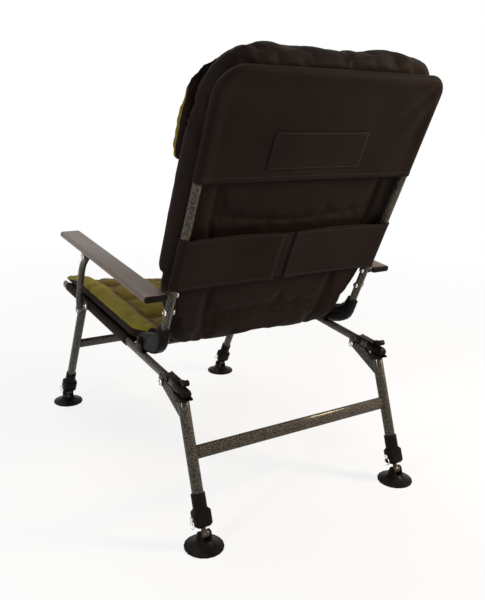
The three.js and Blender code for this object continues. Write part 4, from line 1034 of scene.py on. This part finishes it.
def lumbar_half(name, sign, inner, lower, node):
    path = band_path(sign, inner, lower)
    tall = BAND_TOP - BAND_FOOT
    bm = drawn_out([(x, a, BAND_FOOT) for x, a in path], BAND_ROWS, (0, 0, tall / BAND_ROWS))
    for v in bm.verts:
        rise = (v.co.z - BAND_FOOT) / tall
        inward = fade(0.03, 0.18, BACK_X - abs(v.co.x)) if abs(v.co.x) < BACK_X else 1
        bow = (1 - inward) * BAND_BOW * (1 - (2 * rise - 1) ** 2)
        ripple = (1 - inward) * 0.0012 * noise.noise(Vector((v.co.x * 11, 0.7, v.co.z * 13)))
        hem = 0.0007 if min(rise, 1 - rise) * tall < HEM * 0.7 else 0
        if v.co.y > TUBE_BEHIND:
            v.co.y += hem + ripple - bow
        flare = 0.002 * sin(pi * min(1, abs(v.co.x) / BACK_X))
        v.co.z += flare * (1 if rise > 0.5 else -1) * abs(2 * rise - 1)
    thread_piece(name + "_stitches", lumbar_rows(bm, tall / BAND_ROWS, inner))
    made = back_panel(name, bm)
    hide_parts(node)
    length = sum((Vector(a) - Vector(b)).length for a, b in zip(path, path[1:]))


def seat_sling():
    """The cloth under the seat: a sagging web sewn into a sleeve round each rail."""
    wide, deep = RAIL_WIDE / 2 + SLING.sleeve, RAIL_DEEP / 2 + SLING.sleeve
    front, rear = SLING.front, SLING.rear
    round_steps, web_steps = 16, 12
    loop = []
    for i in range(round_steps + 1):
        angle = pi + i / round_steps * 2 * pi
        lift = (deep - wide) * (1 if sin(angle) > 0 else -1) if abs(sin(angle)) > 0.01 else 0
        loop.append((SIDE + wide * cos(angle), lift + wide * sin(angle)))
    web = [(SIDE - wide - 0.004 - i / web_steps * (SIDE - wide - 0.004), SLING.web)
           for i in range(web_steps + 1)]
    bm = drawn_out([(x, front, z) for x, z in loop[::-1] + web], SLING.rows,
                   (0, (rear - front) / SLING.rows, 0))
    for v in bm.verts:
        ripple = SLING.ripple * noise.noise(Vector((v.co.x * 9, v.co.y * 26, 1.7)))
        if abs(v.co.x) < SIDE - wide - 0.003:
            under = min(v.co.z, seat_under(v.co.x, v.co.y) - SLING.under)
            v.co.z = under + ripple - SLING.ripple
    bmesh.ops.mirror(bm, geom=bm.verts[:] + bm.edges[:] + bm.faces[:], axis="X", merge_dist=0.0001)
    made = finished("sling", bm, SEAT_CLOTH, "seat_frame", SEAT)
    modifier(made, "SOLIDIFY", thickness=CLOTH, offset=0)
    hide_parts("seat_sling")


# Small hardware


def dome_head(bm, place, radius, tall):
    """A domed bolt head on a washer, turned from its profile, with its axis along the place's Z."""
    verts = [bm.verts.new(place @ Vector((radius * r, 0, tall * z))) for r, z in DOME]
    edges = [bm.edges.new(pair) for pair in zip(verts, verts[1:])]
    bmesh.ops.spin(bm, geom=verts + edges, cent=place.translation, axis=place.to_3x3() @ Vector((0, 0, 1)),
                   angle=2 * pi, steps=20, use_merge=True)


def sideways(x, y, z, sign):
    """A place in a tilted frame whose Z points out along X."""
    return Matrix.Translation((x, y, z)) @ Matrix.Rotation(sign * pi / 2, 4, "Y")


def bolt_set(name, places, head, body, frame_place):
    bm = bmesh.new()
    for place in places:
        dome_head(bm, frame_place @ place, *head)
    bmesh.ops.remove_doubles(bm, verts=bm.verts, dist=0.00002)
    finished(name, bm, ZINC, body)


def hardware():
    """The domed bolt heads; a way of 1 or -1 is the side of its piece that a head stands on."""
    seat = TUBE * BOLT_SEAT
    ways = (1, -1)
    for word, sign in SIDES:
        tube, rail, arm, plate = sign * BACK_X, sign * SIDE, sign * ARM_X, sign * BRACKET_FACE
        bolt_set(f"stop_bolts_{word}", [
            sideways(tube + way * sign * seat, TUBE_BEHIND, up, way * sign)
            for way, up in ((1, STOP_BOLT_UP), (-1, STOP_BOLT_UP), (-1, ARM_BOLT_UP))],
            STOP_BOLT, "back_frame", BACK)
        bolt_set(f"bracket_bolts_{word}", [sideways(plate, *at, sign) for at in (LEG_BOLT, REAR_BOLT)],
                 BRACKET_BOLT, "front_leg_frame", FRONT_LEGS)
        bolt_set(f"gusset_bolts_{word}", [sideways(rail + way * GUSSET_FACE, 0, 0, way) for way in ways],
                 GUSSET_BOLT, "rear_leg_frame", REAR_LEGS)
        bolt_set(f"clevis_bolts_{word}", [sideways(arm + way * CLEVIS_FACE, *CLEVIS, way) for way in ways],
                 CLEVIS_BOLT, f"armrest_{word}", ARMS)


# CAD nodes keep their meshes: modifiers weld them, dissolve flat faces, break the edges with a small bevel
# and shade them smooth by angle


def smoothing():
    """A node modifier that shades faces smooth, but not across sharp edges."""
    tree = bpy.data.node_groups.new("smooth_by_angle", "GeometryNodeTree")
    for way in ("INPUT", "OUTPUT"):
        tree.interface.new_socket("Geometry", in_out=way, socket_type="NodeSocketGeometry")
    given = tree.nodes.new("NodeGroupInput").outputs[0]
    out = tree.nodes.new("NodeGroupOutput").inputs[0]
    faces = add(tree, "GeometryNodeSetShadeSmooth", {"Geometry": given}, domain="FACE").outputs[0]
    angle = add(tree, "GeometryNodeInputMeshEdgeAngle").outputs["Unsigned Angle"]
    sharp = add(tree, "FunctionNodeCompare", {0: angle, 1: SHARP}, data_type="FLOAT",
                operation="GREATER_THAN").outputs[0]
    edges = add(tree, "GeometryNodeSetShadeSmooth", {"Geometry": faces, "Selection": sharp,
                                                     "Shade Smooth": False}, domain="EDGE").outputs[0]
    tree.links.new(edges, out)
    return tree


SHARP = radians(40)
FLAT = radians(1.5)
BEVELLED = radians(50)
SMOOTHING = smoothing()
FINISHES = {"frame_paint": PAINT, "arm_paint": ARM_PAINT, "black_plastic": PLASTIC, "zinc_steel": ZINC,
            "black_fabric": BACK_CLOTH, "olive_fabric": BACK_QUILT}
# Width of the bevel on a slot's edges
BREAK = {"black_plastic": 0.0007, "frame_paint": 0.0003, "arm_paint": 0.0003, "zinc_steel": 0.0002}


def dress_nodes():
    """Each CAD node gets the finish of its material slot in the record."""
    slots = {row["node"]: row["material_slot"] for row in frame["record"]["subparts"]}
    for name, node in frame["nodes"].items():
        slot = slots[name]
        node.data.materials.clear()
        node.data.materials.append(FINISHES[slot])
        if slot not in BREAK:
            continue
        modifier(node, "WELD", merge_threshold=0.00001)
        modifier(node, "DECIMATE", decimate_type="DISSOLVE", angle_limit=FLAT)
        modifier(node, "BEVEL", width=BREAK[slot], segments=2, limit_method="ANGLE", angle_limit=BEVELLED,
                 use_clamp_overlap=True, loop_slide=True)
        modifier(node, "NODES", node_group=SMOOTHING)


# The room and the camera

CAMERA_FROM_HINGE = (0.8717, 1.3438, 0.5059)
CAMERA_YAW = radians(212.879)
CAMERA_PITCH = radians(15.698)
CAMERA_ROLL = radians(1.626)
PHOTO_WIDE = 485
PHOTO_TALL = 600
FOCAL_PIXELS = 701.76
CENTRE_PIXEL = (242.35, 301.59)
SENSOR = 36.0
LIT_POINT = Vector((0, 0, 0.45))
LAMPS = (("key", (-2.1, 1.6, 2.0), 0.7, 30, (1.0, 0.90, 0.78)),
         ("fill", (2.6, 0.9, 1.5), 0.35, 26, (0.96, 0.97, 1.0)),
         ("side", (-1.20, 1.10, 1.05), 0.4, 17.0, (1.0, 0.76, 0.50)),
         ("top", (0.2, -1.0, 2.8), 1.6, 20, (1.0, 0.98, 0.95)))  # place, size, watts, colour
WORLD_LEVEL = 0.36  # the surroundings' strength for the light that they give
FLOOR_RADIUS = 9
FLOOR_DROP = 0.0004
FLOOR_FADE = ((0.05, 0.80), (0.30, 1.0))  # how far the floor turns to plain white, by share of its radius


def placed(name, data, place, turn):
    made = linked(name, data)
    made.location = place
    made.rotation_euler = turn.to_euler()
    return made


def camera():
    data = bpy.data.cameras.new("camera")
    data.sensor_width = SENSOR
    data.lens = SENSOR * FOCAL_PIXELS / PHOTO_TALL
    data.shift_x = (PHOTO_WIDE / 2 - CENTRE_PIXEL[0]) / PHOTO_TALL
    data.shift_y = (CENTRE_PIXEL[1] - PHOTO_TALL / 2) / PHOTO_TALL
    turn = Euler((pi / 2 - CAMERA_PITCH, 0, -CAMERA_YAW)).to_matrix() @ Matrix.Rotation(CAMERA_ROLL, 3, "Z")
    SCENE.camera = placed("camera", data, HINGE + Vector(CAMERA_FROM_HINGE), turn)


def lamp(name, place, size, watts, colour):
    data = bpy.data.lights.new(name, "AREA")
    data.shape = "DISK"
    data.size = size
    data.energy = watts
    data.color = colour
    placed(name, data, place, (LIT_POINT - Vector(place)).to_track_quat("-Z", "Y"))


def seen_rays(tree):
    """1 for rays from the camera, from gloss and through glass."""
    rays = add(tree, "ShaderNodeLightPath").outputs
    glossy = math_of(tree, "MAXIMUM", rays["Is Glossy Ray"], rays["Is Transmission Ray"])
    return math_of(tree, "MAXIMUM", rays["Is Camera Ray"], glossy)


def surroundings():
    world = bpy.data.worlds.new("studio")
    SCENE.world = world
    world.use_nodes = True
    tree = world.node_tree
    shade = tree.nodes["Background"]
    shade.inputs["Color"].default_value = (1, 1, 1, 1)
    level = add(tree, "ShaderNodeMix", {0: seen_rays(tree), 2: WORLD_LEVEL, 3: 1.0}).outputs[0]
    tree.links.new(level, shade.inputs["Strength"])
    for row in LAMPS:
        lamp(*row)


def floor():
    """White paper that takes shadows near the chair and is plain white further out."""
    bm = bmesh.new()
    bmesh.ops.create_circle(bm, cap_ends=True, segments=96, radius=FLOOR_RADIUS)
    made = object_of("floor", bm)
    made.location.z = -FLOOR_DROP
    finish, tree, shader, place = material("floor_paper", 0.9)
    shader["Base Color"].default_value = (0.86, 0.86, 0.86, 1)
    white = add(tree, "ShaderNodeEmission", {"Color": (1, 1, 1, 1), "Strength": 1.0}).outputs[0]
    away = add(tree, "ShaderNodeVectorMath", {0: place}, operation="LENGTH").outputs["Value"]
    fade = ramp(tree, math_of(tree, "DIVIDE", away, FLOOR_RADIUS), FLOOR_FADE)
    share = math_of(tree, "MULTIPLY", fade, seen_rays(tree))
    paper = tree.nodes["Principled BSDF"].outputs[0]
    both = add(tree, "ShaderNodeMixShader", {0: share, 1: paper, 2: white}).outputs[0]
    tree.links.new(both, tree.nodes["Material Output"].inputs["Surface"])
    made.data.materials.append(finish)


SCENE.view_settings.view_transform = "Standard"
camera()
seat_cushion()
back_cushion()
head_pillow()
upper_cover()
cover_patch()
cover_stitches()
lumbar_half("lumbar_left", 1, BAND_LEFT_EDGE, 0, "lumbar_band_left")
lumbar_half("lumbar_right", -1, BAND_RIGHT_EDGE, BAND_LOWER, "lumbar_band_right")
lumbar_tongue()
seat_sling()
hardware()
dress_nodes()
surroundings()
floor()
